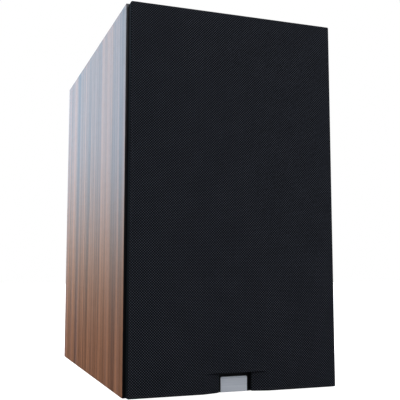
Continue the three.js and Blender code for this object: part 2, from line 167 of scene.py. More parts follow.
def between(tree, value, low, high, to_low=0.0, to_high=1.0):
    """Stretches a value from one range to another, with soft ends."""
    made = node(tree, "MapRange", {"interpolation_type": "SMOOTHSTEP"}, Value=value)
    for name, limit in (("From Min", low), ("From Max", high), ("To Min", to_low), ("To Max", to_high)):
        made.inputs[name].default_value = limit
    return made.outputs[0]


def vector(tree, x, y, z):
    """Three numbers as one place."""
    made = node(tree, "CombineXYZ")
    for socket, value in zip(made.inputs, (x, y, z)):
        fill(tree, socket, value)
    return made.outputs[0]


def cloudy(tree, place, scale=1.0, detail=2.0, roughness=0.5):
    """Smooth random noise around 0.5."""
    return node(tree, "TexNoise", Vector=place, Scale=scale, Detail=detail,
                Roughness=roughness).outputs["Fac"]


def srgb(red, green, blue):
    """A colour as seen on a screen, 0 to 255, made linear."""
    parts = [value / 255 for value in (red, green, blue)]
    return [c / 12.92 if c <= 0.04045 else ((c + 0.055) / 1.055) ** 2.4 for c in parts] + [1]


print("a mid brown on screen is", [round(c, 3) for c in srgb(139, 99, 80)], "as light")

# %% The room and its light
SCREEN, HAZE, GLOOM = (0.98, 1.53, 1.98, 1), (0.50, 0.56, 0.53, 1), (0.01, 0.01, 0.01, 1)
CEILING, WALL = (0.40, 0.50, 0.62, 1), (0.06, 0.062, 0.07, 1)
DOWNWARD, UPWARD, WHITE = (0.55, 0.56, 0.58, 1), (0.98, 0.99, 1.0, 1), (1, 1, 1, 1)

room = bpy.data.worlds.new("white room")
room.use_nodes = True
scene.world = room
tree = room.node_tree
tree.nodes.clear()
direction = node(tree, "SeparateXYZ", Vector=node(tree, "TexCoord").outputs["Generated"]).outputs
low_rear = mixed(tree, between(tree, direction["Z"], -0.11, 0.08), GLOOM, HAZE)
rear = mixed(tree, between(tree, direction["Z"], -0.02, 0.21), low_rear, SCREEN)
ahead = mixed(tree, between(tree, direction["Z"], 0.12, 0.45), WALL, CEILING)
mirrored = mixed(tree, between(tree, direction["Y"], -0.15, 0.35), ahead, rear)
spread = mixed(tree, between(tree, direction["Z"], -0.2, 0.9), DOWNWARD, UPWARD)
ray = node(tree, "LightPath").outputs
light = mixed(tree, ray["Is Glossy Ray"], spread, mirrored)
seen = mixed(tree, ray["Is Camera Ray"], light, WHITE)
glow = node(tree, "Background", Color=seen)
node(tree, "OutputWorld", Surface=glow.outputs[0])


def softbox(name, place, aim, width, height, watts, colour=(1, 1, 1)):
    """A large area light that faces a point."""
    panel = bpy.data.lights.new(name, "AREA")
    panel.shape, panel.size, panel.size_y = "RECTANGLE", width, height
    panel.energy, panel.color = watts, colour
    lamp = bpy.data.objects.new(name, panel)
    lamp.location = place
    lamp.rotation_euler = (Vector(aim) - Vector(place)).to_track_quat("-Z", "Y").to_euler()
    scene.collection.objects.link(lamp)
    return lamp


softbox("key_light", (0.35, -1.9, 1.2), (0, -0.16, 0.15), 1.2, 0.9, 12)
side_light = softbox("side_light", (-0.7, 0.72, 0.4), (-0.1, 0.05, 0.15), 0.4, 0.5, 7.6, (1, 0.96, 0.92))
side_light.visible_glossy = False
softbox("back_light", (0.7, 1.6, 1.2), (0, 0.16, 0.18), 1.0, 1.0, 10)

# %% The floor
FLOOR_REACH, BELOW_FOOT = 6, 0.5 * MM

floor_form = bmesh.new()
bmesh.ops.create_grid(floor_form, x_segments=1, y_segments=1, size=FLOOR_REACH)
bmesh.ops.translate(floor_form, vec=(0, 0, -BELOW_FOOT), verts=floor_form.verts)
floor_mesh = bpy.data.meshes.new("floor")
floor_form.to_mesh(floor_mesh)
floor_form.free()
floor = bpy.data.objects.new("floor", floor_mesh)
scene.collection.objects.link(floor)
floor_paint = bpy.data.materials.new("white floor")
floor_paint.use_nodes = True
paint = floor_paint.node_tree.nodes["Principled BSDF"].inputs
paint["Base Color"].default_value = (0.55, 0.55, 0.56, 1)
paint["Roughness"].default_value = 0.9
paint["Emission Color"].default_value = WHITE
floor_seen = node(floor_paint.node_tree, "LightPath").outputs["Is Camera Ray"]
floor_paint.node_tree.links.new(floor_seen, paint["Emission Strength"])
floor_mesh.materials.append(floor_paint)
floor.visible_glossy = False
print("the floor lies", BELOW_FOOT / MM, "mm under the cabinet and glows white only for the camera")

# %% [markdown]
# ## Shared effects
# Several finishes need the same thing: straight wood grain, a woven lattice, the fine unevenness of moulded
# plastic or paint, and the fine lines of brushed metal. Each is a node group, built once, that puts out only
# values, and each material mixes those values its own way.

# %% Helpers for node groups and materials
def effect(name, inputs, outputs):
    """A node group with float or vector inputs. Gives its tree, what comes in, and what goes out."""
    made = bpy.data.node_groups.new(name, "ShaderNodeTree")
    for socket, kind in inputs.items():
        made.interface.new_socket(name=socket, in_out="INPUT", socket_type="NodeSocket" + kind)
    for socket in outputs:
        made.interface.new_socket(name=socket, in_out="OUTPUT", socket_type="NodeSocketFloat")
    return made, made.nodes.new("NodeGroupInput").outputs, made.nodes.new("NodeGroupOutput").inputs


def placed(tree, group, **inputs):
    """Puts a node group in a material and gives its outputs."""
    made = tree.nodes.new("ShaderNodeGroup")
    made.node_tree = group
    for name, value in inputs.items():
        fill(tree, made.inputs[name.replace("_", " ")], value)
    return made.outputs


def finish(name, **values):
    """A new material. Gives the material, its tree and the shader's inputs."""
    made = bpy.data.materials.new(name)
    made.use_nodes = True
    shader = made.node_tree.nodes["Principled BSDF"].inputs
    for socket, value in values.items():
        shader[socket.replace("_", " ")].default_value = value
    return made, made.node_tree, shader


def object_place(tree):
    """A point's place on the object, in metres."""
    return node(tree, "TexCoord").outputs["Object"]


def object_axes(tree):
    """The same place as three numbers."""
    return node(tree, "SeparateXYZ", Vector=object_place(tree)).outputs


def raised(tree, height, distance):
    """Turns a height into a bump, with its depth in metres."""
    return node(tree, "Bump", Strength=1.0, Distance=distance, Height=height).outputs[0]


# %% Straight grain
grain, given, out = effect("straight grain", {"Across": "Float", "Along": "Float", "Board": "Float"},
                           ["Tone", "Tint", "Line", "Pore"])
wander = vector(grain, times(grain, given["Across"], 9), times(grain, given["Along"], 2.2), given["Board"])
SWAY = 0.009
bent = plus(grain, given["Across"], times(grain, cloudy(grain, wander, 1, 1), SWAY))


def streaks(width, length, shift, detail=1.0):
    """Noise drawn out along the grain, with its sizes in metres. shift picks another stretch of it."""
    place = vector(grain, over(grain, bent, width), over(grain, given["Along"], length),
                   plus(grain, given["Board"], shift))
    return cloudy(grain, place, 1, detail)


bands = between(grain, streaks(0.019, 1.6, 0.0), 0.3, 0.7)
stripes = between(grain, streaks(0.0048, 0.9, 3.1), 0.3, 0.7)
threads = between(grain, streaks(0.0011, 0.3, 6.7, 2.0), 0.3, 0.7)
tone = plus(grain, times(grain, bands, 0.38), times(grain, stripes, 0.32))
tone = plus(grain, tone, times(grain, threads, 0.3))
fill(grain, out["Tone"], between(grain, tone, 0.1, 0.9))
fill(grain, out["Tint"], between(grain, streaks(0.026, 1.3, 11.3), 0.48, 0.66))
nearness = calc(grain, "ABSOLUTE", minus(grain, streaks(0.019, 2.4, 17.9), 0.5))
some = between(grain, streaks(0.03, 0.5, 23.0), 0.4, 0.62)
fill(grain, out["Line"], times(grain, between(grain, nearness, 0.05, 0.0), some))
fill(grain, out["Pore"], between(grain, streaks(0.0006, 0.012, 29.0, 2.0), 0.52, 0.7))
print("straight grain gives", [socket.name for socket in out if socket.name])

# %% Walnut wrap
def walnut(name, across, along, fold, board):
    """The cabinet's wrap. Its grain runs along one axis, and carries on over the edge at the back."""
    made, tree, shader = finish(name)
    axes = object_axes(tree)
    centre = TOP / 2 if fold == "Z" else 0.0
    folded = calc(tree, "ABSOLUTE", minus(tree, axes[fold], centre))
    over_the_fold = minus(tree, axes[across], folded)
    wood = placed(tree, grain, Across=over_the_fold, Along=axes[along], Board=board)
    brown = mixed(tree, wood["Tone"], srgb(172, 120, 90), srgb(104, 69, 50))
    tinted = mixed(tree, times(tree, wood["Tint"], 0.55), brown, srgb(124, 97, 93))
    lined = mixed(tree, times(tree, wood["Line"], 0.7), tinted, srgb(64, 41, 33))
    pored = mixed(tree, times(tree, wood["Pore"], 0.16), lined, srgb(58, 38, 30))
    fill(tree, shader["Base Color"], pored)
    fill(tree, shader["Roughness"], plus(tree, times(tree, wood["Pore"], 0.04), 0.3))
    fill(tree, shader["Normal"], raised(tree, minus(tree, 1.0, wood["Pore"]), 0.00004))
    return made


walnut_left = walnut("walnut_left", "Y", "Z", "X", 0.0)
walnut_right = walnut("walnut_right", "Y", "Z", "X", 5.2)
walnut_level = walnut("walnut_level", "Y", "X", "Z", 9.7)
walnut_back = walnut("walnut_back", "X", "Z", "Y", 14.4)
print("walnut:", [coat.name for coat in (walnut_left, walnut_right, walnut_level, walnut_back)])

# %% Fine unevenness of paint, board and moulded plastic
speckle, given, out = effect("speckle", {"Place": "Vector", "Size": "Float"}, ["Fine", "Broad"])
fill(speckle, out["Fine"], cloudy(speckle, given["Place"], over(speckle, 1.0, given["Size"]), 2))
fill(speckle, out["Broad"], cloudy(speckle, given["Place"], over(speckle, 0.12, given["Size"]), 3,
                                   0.6))


def speckled(tree, size):
    """Puts the speckle in a material, with its size in metres."""
    return placed(tree, speckle, Place=object_place(tree), Size=size)


def moulded(name, light, dark, size, roughness, depth, spread=0.12, **values):
    """A painted, cast or moulded finish: two near colours, an uneven gloss and a fine grain.

    The colours are as seen on a screen. size is that of the grain and depth how far it stands up, in metres.
    """
    made, tree, shader = finish(name, **values)
    mottle = speckled(tree, size)
    blend = plus(tree, times(tree, mottle["Broad"], 0.6), times(tree, mottle["Fine"], 0.4))
    tone = between(tree, blend, 0.35, 0.65)
    fill(tree, shader["Base Color"], mixed(tree, tone, srgb(*light), srgb(*dark)))
    smooth, rough = roughness - spread / 2, roughness + spread / 2
    fill(tree, shader["Roughness"], between(tree, mottle["Broad"], 0.3, 0.7, smooth, rough))
    fill(tree, shader["Normal"], raised(tree, mottle["Fine"], depth))
    return made


black_lacquer = moulded("black_lacquer", (10, 10, 12), (6, 6, 8), 0.0009, 0.32, 0.000004, spread=0.03)
raw_board = moulded("raw_board", (186, 156, 118), (152, 121, 86), 0.0012, 0.85, 0.00008)

# The lacquer runs a few millimetres in over the raw edges beside the front.
tree = raw_board.node_tree
shader = tree.nodes["Principled BSDF"].inputs
depth = object_axes(tree)["Y"]
bare = between(tree, depth, FRONT + 2 * MM, FRONT + 4 * MM)
wood = shader["Base Color"].links[0].from_socket
fill(tree, shader["Base Color"], mixed(tree, bare, srgb(8, 8, 10), wood))
grille_plastic = moulded("grille_plastic", (24, 25, 27), (15, 16, 18), 0.0008, 0.55, 0.00003)
print("materials so far:", len(bpy.data.materials))

# %% [markdown]
# ## Making a part
# Every part starts as a small mesh in memory, a bmesh, that operators shape. When it is done it becomes an
# object that stands for its counterpart in the frame: it rides on the same body, so that it moves as the
# real one would, and the counterpart is hidden. A modifier weights the shading by the size of each face,
# or a narrow round edge would seem to bend the large flat face beside it.

# %% Helpers for parts
made_parts = []


def new_part(name, form, materials, smooth=35):
    """Makes a finished bmesh the visible form of a part. Edges past an angle of smooth stay sharp."""
    mesh = bpy.data.meshes.new(name)
    form.to_mesh(mesh)
    form.free()
    for coat in materials if isinstance(materials, (list, tuple)) else [materials]:
        mesh.materials.append(coat)
    mesh.polygons.foreach_set("use_smooth", [True] * len(mesh.polygons))
    mesh.set_sharp_from_angle(angle=math.radians(smooth))
    piece = bpy.data.objects.new(name + "_form", mesh)
    scene.collection.objects.link(piece)
    piece.modifiers.new("flat faces shade flat", "WEIGHTED_NORMAL").keep_sharp = True
    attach(piece, frame["nodes"][name]["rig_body"])
    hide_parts(name)
    made_parts.append(piece)
    return piece


def only(geometry, kind):
    """The points, edges or faces in what an operator gives back."""
    return [piece for piece in geometry if isinstance(piece, kind)]


def moved(form, way):
    """Moves all of a form."""
    bmesh.ops.translate(form, vec=way, verts=form.verts)


def swung(form, angle, axis):
    """Turns all of a form about an axis through the origin."""
    bmesh.ops.rotate(form, matrix=Matrix.Rotation(angle, 3, axis), verts=form.verts)


def sharp_edges(form, test=lambda edge: True, angle=30):
    """The edges where two faces meet at more than an angle, and that pass a test."""
    form.normal_update()
    limit = math.radians(angle)
    return [e for e in form.edges if e.is_manifold and e.calc_face_angle() > limit and test(e)]


def rounded(form, edges, width, segments=2):
    """Rounds edges by a width in millimetres."""
    bmesh.ops.bevel(form, geom=edges, offset=width * MM, offset_type="OFFSET", affect="EDGES",
                    segments=segments, profile=0.5, material=-1, clamp_overlap=True)
    return form


def extruded(outline, y0, y1):
    """A closed outline of (x, z) in metres, drawn out from one depth to another."""
    form = bmesh.new()
    face = form.faces.new([form.verts.new((x, y0, z)) for x, z in outline])
    drawn = bmesh.ops.extrude_face_region(form, geom=[face])["geom"]
    bmesh.ops.translate(form, vec=(0, y1 - y0, 0), verts=only(drawn, bmesh.types.BMVert))
    bmesh.ops.recalc_face_normals(form, faces=form.faces)
    return form


def block(x, y, z):
    """A block round the middle, with its sides in millimetres, to be rounded, bent or cut with."""
    form = bmesh.new()
    bmesh.ops.create_cube(form, size=1)
    bmesh.ops.scale(form, vec=(x * MM, y * MM, z * MM), verts=form.verts)
    return form


def middle(edge):
    """The middle of an edge."""
    return (edge.verts[0].co + edge.verts[1].co) / 2


def depth_span(edge):
    """How far an edge runs from front to back."""
    return abs(edge.verts[0].co.y - edge.verts[1].co.y)


def turned(outline, centre=(0, 0, 0), steps=96, edge=0.0, loop=True):
    """Turns an outline of (radius, depth) in millimetres about a line along Y, as on a lathe."""
    form = bmesh.new()
    points = [form.verts.new((radius * MM, depth * MM, 0)) for radius, depth in outline]
    pairs = list(zip(points, points[1:]))
    if loop and (outline[0][0] > 0 or outline[-1][0] > 0):
        pairs.append((points[-1], points[0]))
    rail = [form.edges.new(pair) for pair in pairs]
    bmesh.ops.spin(form, geom=points + rail, cent=(0, 0, 0), axis=(0, 1, 0), angle=math.tau, steps=steps,
                   use_merge=True)
    bmesh.ops.remove_doubles(form, verts=form.verts, dist=1e-6)
    bmesh.ops.recalc_face_normals(form, faces=form.faces)
    if edge:
        rounded(form, sharp_edges(form, angle=40), edge)
    moved(form, centre)
    return form


def carved(form, cutters):
    """Cuts solids out of a form with exact booleans, and gives a new form."""
    def held(shape, name):
        mesh = bpy.data.meshes.new(name)
        shape.to_mesh(mesh)
        shape.free()
        holder = bpy.data.objects.new(name, mesh)
        scene.collection.objects.link(holder)
        return holder

    blank = held(form, "blank")
    tools = [held(shape, "cutter") for shape in cutters]
    for tool in tools:
        cut = blank.modifiers.new("cut", "BOOLEAN")
        cut.operation, cut.solver, cut.object = "DIFFERENCE", "EXACT", tool
    result = bmesh.new()
    result.from_object(blank, bpy.context.evaluated_depsgraph_get())
    for holder in [blank, *tools]:
        mesh = holder.data
        bpy.data.objects.remove(holder)
        bpy.data.meshes.remove(mesh)
    bmesh.ops.remove_doubles(result, verts=result.verts, dist=1e-6)
    return result


def joined(form, extra):
    """Adds a second form to a first."""
    mesh = bpy.data.meshes.new("extra")
    extra.to_mesh(mesh)
    extra.free()
    form.from_mesh(mesh)
    bpy.data.meshes.remove(mesh)


def middle_of(name):
    """The middle of a part of the frame."""
    low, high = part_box(name)
    return (low + high) / 2


def facing(name, y):
    """The middle of a part's face at one depth."""
    centre = middle_of(name)
    return Vector((centre.x, y, centre.z))


def merged_copy(name, edge=0.3, angle=30):
    """A welded copy of a part of the frame, with its flat faces whole and its edges rounded."""
    form = bmesh.new()
    form.from_mesh(frame["nodes"][name].data)
    bmesh.ops.remove_doubles(form, verts=form.verts, dist=1e-6)
    bmesh.ops.dissolve_limit(form, angle_limit=math.radians(1), verts=form.verts, edges=form.edges)
    return rounded(form, sharp_edges(form, angle=angle), edge)


# %% [markdown]
# ## The cabinet's wrap
# A cabinet like this is one sheet of fibreboard in a printed walnut wrap. The sheet is milled with V grooves
# and folded, so its four walls meet in mitres, and the grain runs up the sides and across the top. Each wall
# is drawn as its mitred section and extruded from front to back. The outer edges at the front and the back
# get a small radius and the long corners a smaller one, and what faces forward is painted black, as the
# front is.

# %% The four walls
FRONT_COAT, INSIDE = 1, 2  # the walnut is material 0
WALL_THICK, END_GAP = 15 * MM, 0.06 * MM


def wall(name, coat, outward):
    """One mitred wall. outward is the direction that its walnut face looks in."""
    low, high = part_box(name)
    if outward.x:
        near, far = (low.x, high.x) if outward.x < 0 else (high.x, low.x)
        outline = [(near, low.z), (near, high.z), (far, high.z - WALL_THICK), (far, low.z + WALL_THICK)]
    else:
        near, far = (high.z, low.z) if outward.z > 0 else (low.z, high.z)
        left, right = low.x + END_GAP, high.x - END_GAP
        outline = [(left, near), (right, near), (right - WALL_THICK, far), (left + WALL_THICK, far)]
    form = extruded(outline, low.y, high.y)

    def outside(edge):
        return all(abs((v.co.x if outward.x else v.co.z) - near) < 1e-6 for v in edge.verts)

    rounded(form, sharp_edges(form, lambda e: depth_span(e) < 1e-6 and outside(e)), 0.6, 3)
    rounded(form, sharp_edges(form, lambda e: depth_span(e) > 0.1 and outside(e)), 0.25, 2)
    form.normal_update()
    for face in form.faces:
        mitre = min(abs(face.normal.x), abs(face.normal.z)) > 0.5 and face.calc_area() > 1e-3
        if face.normal.y < -0.6:
            face.material_index = FRONT_COAT
        elif face.normal.dot(outward) < -0.5 or mitre:
            face.material_index = INSIDE
    return new_part(name, form, [coat, black_lacquer, raw_board])


for name, coat, outward in (("left_side_panel", walnut_left, Vector((-1, 0, 0))),
                            ("right_side_panel", walnut_right, Vector((1, 0, 0))),
                            ("top_panel", walnut_level, Vector((0, 0, 1))),
                            ("bottom_panel", walnut_level, Vector((0, 0, -1)))):
    made = wall(name, coat, outward)
    print(name, len(made.data.polygons), "faces")

# %% [markdown]
# ## The front baffle
# The front is a thick black board with a stepped hole for each driver: the wider step is a rebate, so that
# the driver's rim sits flush. The holes are cut with turned solids, which gives true round holes, and their
# edges are rounded afterwards, as paint rounds them. Small round pockets hold the steel keepers for the
# grille's magnets.

# %% The baffle
low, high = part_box("front_baffle")
WOOFER_AT = Vector((0, FRONT, middle_of("woofer_basket").z))
TWEETER_AT = Vector((0, FRONT, middle_of("tweeter_waveguide").z))
PAINTED_DEPTH = 6 * MM


def box_outline(low, high, inset=0.0):
    """The outline of a box as seen from the front."""
    return [(low.x + inset, low.z + inset), (high.x - inset, low.z + inset),
            (high.x - inset, high.z - inset), (low.x + inset, high.z - inset)]


GLUE_LINE = 0.25 * MM
board = extruded(box_outline(low, high, -GLUE_LINE), low.y, high.y)
holes = [turned([(0, -2), (86.3, -2), (86.3, 5.3), (72.4, 5.3), (72.4, 20), (0, 20)], WOOFER_AT, 128),
         turned([(0, -2), (62.3, -2), (62.3, 4.3), (52, 4.3), (52, 20), (0, 20)], TWEETER_AT, 112)]
for name in slot_of:
    if name.startswith("baffle_keeper"):
        holes.append(turned([(0, -1), (5.3, -1), (5.3, 3.1), (0, 3.1)], facing(name, FRONT), 32))
    if name.startswith(("woofer_screw", "tweeter_screw")):
        holes.append(turned([(0, 0), (2.2, 0), (2.2, 20), (0, 20)], facing(name, FRONT), 12))
board = carved(board, holes)
rims = sharp_edges(board, lambda e: all(abs(v.co.y - FRONT) < 1e-6 for v in e.verts))
rounded(board, rims, 0.4)
board.normal_update()
for face in board.faces:
    face.material_index = 0 if face.calc_center_median().y < FRONT + PAINTED_DEPTH else 1
baffle = new_part("front_baffle", board, [black_lacquer, raw_board])
print("baffle:", len(baffle.data.polygons), "faces,", len(holes), "holes and pockets")

# %% [markdown]
# ## The grille
# A moulded frame carries an open knitted cloth, pulled tight over its front and glued behind. At the bottom
# the frame is scooped out round the badge, and the cloth follows the scoop. The cloth is made as what it is,
# a thin sheet: one face the size of the front, cut along the scoop's lines, pushed back where the scoop is,
# then folded round the sides and given the thickness of cloth. Its pattern follows a map that is laid out
# flat in metres, as cloth is before it is stretched, so that the weave is the same size all over.

# %% Grille cloth finish
weave, given, out = effect("woven lattice", {"U": "Float", "V": "Float", "Pitch": "Float"},
                           ["Thread", "Hole"])
waves = [calc(weave, "COSINE", over(weave, times(weave, given[way], math.tau), given["Pitch"]))
         for way in ("U", "V")]
lattice = times(weave, *waves)
fill(weave, out["Thread"], between(weave, lattice, 0.2, 0.9))
fill(weave, out["Hole"], between(weave, lattice, -0.1, -0.9))

cloth_low, cloth_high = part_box("grille_cloth")
FOLD, KNIT = cloth_high.x, 2.4 * MM
grille_cloth, tree, shader = finish("grille_cloth", Roughness=0.8, Specular_IOR_Level=0.06)
laid = node(tree, "SeparateXYZ", Vector=node(tree, "UVMap", {"uv_map": "cloth"}).outputs[0]).outputs
threads = placed(tree, weave, U=laid["X"], V=laid["Y"], Pitch=KNIT)
patches = cloudy(tree, vector(tree, laid["X"], laid["Y"], 0.0), 38, 3, 0.6)
# The light dots where the threads cross are painted glints, mixed into the cloth's colour in place of real
# highlights.
painted_glints = times(tree, threads["Thread"], between(tree, patches, 0.3, 0.7, 0.86, 1.0))
# Past the fold the painted glints fade out, which is painted shade on the cloth's folded sides.
painted_shade_past_fold = between(tree, calc(tree, "ABSOLUTE", laid["X"]), FOLD - 1 * MM, FOLD + 1 * MM)
painted_glints = times(tree, painted_glints, minus(tree, 1.0, painted_shade_past_fold))
knit = mixed(tree, threads["Hole"], srgb(6, 7, 9), srgb(1, 1, 2))
fill(tree, shader["Base Color"], mixed(tree, painted_glints, knit, srgb(76, 80, 91)))
fill(tree, shader["Normal"], raised(tree, threads["Thread"], 0.00012))
print("the knit repeats every", KNIT / MM, "mm")

# %% Grille cloth
FACE, NEAR_EDGE, CLOTH = cloth_low.y, 2.5 * MM, 0.6 * MM
SCOOP_HALF, OPENING_HALF, SCOOP_TOP, SCOOP_DEPTH = 33 * MM, 16 * MM, 17.5 * MM, 4.6 * MM


def scoop(x):
    """How far the grille's face is scooped back at x."""
    inward = min(max((SCOOP_HALF - abs(x)) / (SCOOP_HALF - OPENING_HALF), 0), 1)
    return SCOOP_DEPTH * inward ** 1.25


def cut_along(form, place, direction):
    """Cuts every face of a form along a plane, and keeps both sides."""
    bmesh.ops.bisect_plane(form, geom=form.verts[:] + form.edges[:] + form.faces[:], plane_co=place,
                           plane_no=direction, dist=1e-7)


form = bmesh.new()
form.faces.new([form.verts.new((x, FACE, z)) for x, z in box_outline(cloth_low, cloth_high)])
for step in range(13):
    across = OPENING_HALF + (SCOOP_HALF - OPENING_HALF) * step / 12
    for side in (-1, 1):
        cut_along(form, (side * across, 0, 0), (1, 0, 0))
LEDGE = 1.1 * MM
for height in (SCOOP_TOP, SCOOP_TOP + LEDGE, SCOOP_TOP + 2.5 * LEDGE, SCOOP_TOP + 4 * LEDGE):
    cut_along(form, (0, 0, height), (0, 0, 1))
spots = [(f, f.calc_center_median()) for f in form.faces]
opening = [f for f, spot in spots if spot.z < SCOOP_TOP and abs(spot.x) < OPENING_HALF]
bmesh.ops.delete(form, geom=opening, context="FACES")
for vert in form.verts:
    if vert.co.z < SCOOP_TOP + 1e-6:
        vert.co.y += scoop(vert.co.x)
skirt = bmesh.ops.extrude_edge_only(form, edges=[e for e in form.edges if e.is_boundary])["geom"]
for vert in only(skirt, bmesh.types.BMVert):
    vert.co.y = cloth_high.y
bmesh.ops.recalc_face_normals(form, faces=form.faces)
if sum(f.normal.y * f.calc_area() for f in form.faces) > 0:
    bmesh.ops.reverse_faces(form, faces=form.faces)


def on_rim(edge):
    """Whether an edge lies on the outer edge of the cloth's face."""
    return all(abs(abs(v.co.x) - cloth_high.x) < 1e-6 or v.co.z < cloth_low.z + 1e-6
               or v.co.z > cloth_high.z - 1e-6 for v in edge.verts)


def on_scoop(edge):
    """Whether an edge lies on the scoop, clear of the cloth's lower edge."""
    spot = middle(edge)
    return cloth_low.z + 3 * MM < spot.z < SCOOP_TOP + 2 * LEDGE and abs(spot.x) < SCOOP_HALF


rounded(form, sharp_edges(form, on_rim, 50), 1.9, 4)
rounded(form, sharp_edges(form, on_scoop, 25), 0.45, 2)
flat_map = form.loops.layers.uv.new("cloth")
for face in form.faces:
    for corner in face.loops:
        x, y, z = corner.vert.co
        fold = y - FACE
        u, v = x, z
        if z > cloth_high.z - NEAR_EDGE:
            v += fold
        elif z < NEAR_EDGE:
            v -= fold - scoop(x)
        elif abs(x) > cloth_high.x - NEAR_EDGE:
            u += math.copysign(fold, x)
        corner[flat_map].uv = (u, v)
bmesh.ops.solidify(form, geom=form.faces[:], thickness=CLOTH)
cloth_piece = new_part("grille_cloth", form, grille_cloth, smooth=50)
print("cloth:", len(cloth_piece.data.polygons), "faces, cut to 245 x 395 mm")

# %% The grille's frame
grille_frame = new_part("grille_frame", merged_copy("grille_frame", 0.35), grille_plastic)
print("grille frame:", len(grille_frame.data.polygons), "faces")

# %% [markdown]
# ## The badge
# A small plate of brushed metal sits in the scoop, stuck to the baffle. It is left blank. Real ones are
# stamped from sheet, so their corners are round in plan and their edges are softened.

# %% The badge
brushed, given, out = effect("brushed lines", {"Across": "Float", "Along": "Float", "Width": "Float"},
                             ["Line", "Cloud"])
STRETCH = 60
along = over(brushed, given["Along"], times(brushed, given["Width"], STRETCH))
line_place = vector(brushed, along, over(brushed, given["Across"], given["Width"]), 0.0)
fill(brushed, out["Line"], between(brushed, cloudy(brushed, line_place, 1, 3), 0.3, 0.7))
fill(brushed, out["Cloud"], cloudy(brushed, line_place, 0.08, 2))

badge_metal, tree, shader = finish("badge_metal", Metallic=0.6)
axes = object_axes(tree)
lines = placed(tree, brushed, Across=axes["Z"], Along=axes["X"], Width=0.00025)
worn = mixed(tree, between(tree, lines["Cloud"], 0.35, 0.65), srgb(214, 220, 230), srgb(238, 243, 250))
fill(tree, shader["Base Color"], mixed(tree, lines["Line"], worn, srgb(236, 240, 247)))
fill(tree, shader["Roughness"], between(tree, lines["Line"], 0.0, 1.0, 0.38, 0.5))
fill(tree, shader["Normal"], raised(tree, lines["Line"], 0.00001))


def rounded_box(low, high, corner, edge, segments=6):
    """A plate with corners that are round in plan, and softened edges."""
    form = extruded(box_outline(low, high), low.y, high.y)
    upright = sharp_edges(form, lambda e: depth_span(e) > 0.5 * (high.y - low.y))
    rounded(form, upright, corner, segments)
    return rounded(form, sharp_edges(form, angle=60), edge, 2)


badge = new_part("badge_plate", rounded_box(*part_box("badge_plate"), 1.2, 0.25), badge_metal)
print("badge:", [round(side / MM, 1) for side in badge.dimensions], "mm")

# %% [markdown]
# ## The woofer
# A woofer is nearly all turned parts round one axis, so most of it is outlines spun on a lathe: the basket
# that holds everything, the magnet between two steel plates, and the cone with its soft suspensions. The
# basket is a pressed steel bowl with six windows, which are cut out of the turned bowl with rounded blocks.

# %% Driver finishes
painted_steel = moulded("painted_steel", (34, 35, 38), (22, 23, 25), 0.0007, 0.42, 0.00003, Metallic=0.2)
steel_plate = moulded("steel_plate", (158, 161, 166), (128, 131, 136), 0.0011, 0.36, 0.00001, Metallic=1.0)
magnet_plating = moulded("magnet_plating", (206, 208, 212), (184, 187, 192), 0.0012, 0.24, 0.000006,
                         Metallic=1.0)
ferrite = moulded("ferrite", (58, 57, 58), (38, 38, 40), 0.0005, 0.68, 0.00004)
surround_rubber = moulded("surround_rubber", (26, 26, 28), (17, 17, 19), 0.0010, 0.55, 0.00002,
                          Sheen_Weight=0.05)
coil_former = moulded("coil_former", (186, 120, 58), (148, 88, 38), 0.0014, 0.35, 0.00001)
screw_paint = moulded("screw_paint", (30, 30, 32), (18, 18, 20), 0.0004, 0.35, 0.00001, Metallic=0.6)
print("materials so far:", len(bpy.data.materials))


# %% Paper cone finish
def radius_from(tree, centre):
    """Distance from a driver's axis."""
    centred = node(tree, "Mapping", Vector=object_place(tree), Location=(-centre.x, 0, -centre.z)).outputs[0]
    axes = node(tree, "SeparateXYZ", Vector=centred).outputs
    squares = [times(tree, axes[way], axes[way]) for way in ("X", "Z")]
    return calc(tree, "SQRT", plus(tree, *squares))


RIB = 3.4 * MM
cone_paper, tree, shader = finish("cone_paper", Roughness=0.78, Sheen_Weight=0.08)
mottle = speckled(tree, 0.0008)
fibre = speckled(tree, 0.0035)
pulp = plus(tree, times(tree, mottle["Fine"], 0.5), times(tree, fibre["Fine"], 0.5))
fill(tree, shader["Base Color"], mixed(tree, between(tree, pulp, 0.38, 0.62), srgb(30, 31, 34),
                                       srgb(46, 47, 51)))
ribs = calc(tree, "SINE", times(tree, radius_from(tree, WOOFER_AT), math.tau / RIB))
fill(tree, shader["Normal"], raised(tree, plus(tree, pulp, times(tree, ribs, 0.12)), 0.00025))
print("the cone's ribs are", RIB / MM, "mm apart")


# %% Woven finishes for the suspension and the dome
def woven(name, light, dark, pitch, roughness, depth, **values):
    """A treated cloth whose threads run straight across a round part."""
    made, tree, shader = finish(name, Roughness=roughness, **values)
    axes = object_axes(tree)
    threads = placed(tree, weave, U=axes["X"], V=axes["Z"], Pitch=pitch)
    mottle = speckled(tree, 0.004)
    shade = plus(tree, times(tree, threads["Thread"], 0.6), times(tree, mottle["Fine"], 0.4))
    fill(tree, shader["Base Color"], mixed(tree, shade, srgb(*dark), srgb(*light)))
    fill(tree, shader["Normal"], raised(tree, threads["Thread"], depth))
    return made


spider_cloth = woven("spider_cloth", (206, 172, 96), (150, 118, 58), 0.0009, 0.85, 0.0001)
dome_silk = woven("dome_silk", (40, 40, 44), (16, 16, 18), 0.0005, 0.5, 0.00003, Coat_Weight=0.25)
print("woven:", spider_cloth.name, "and", dome_silk.name)

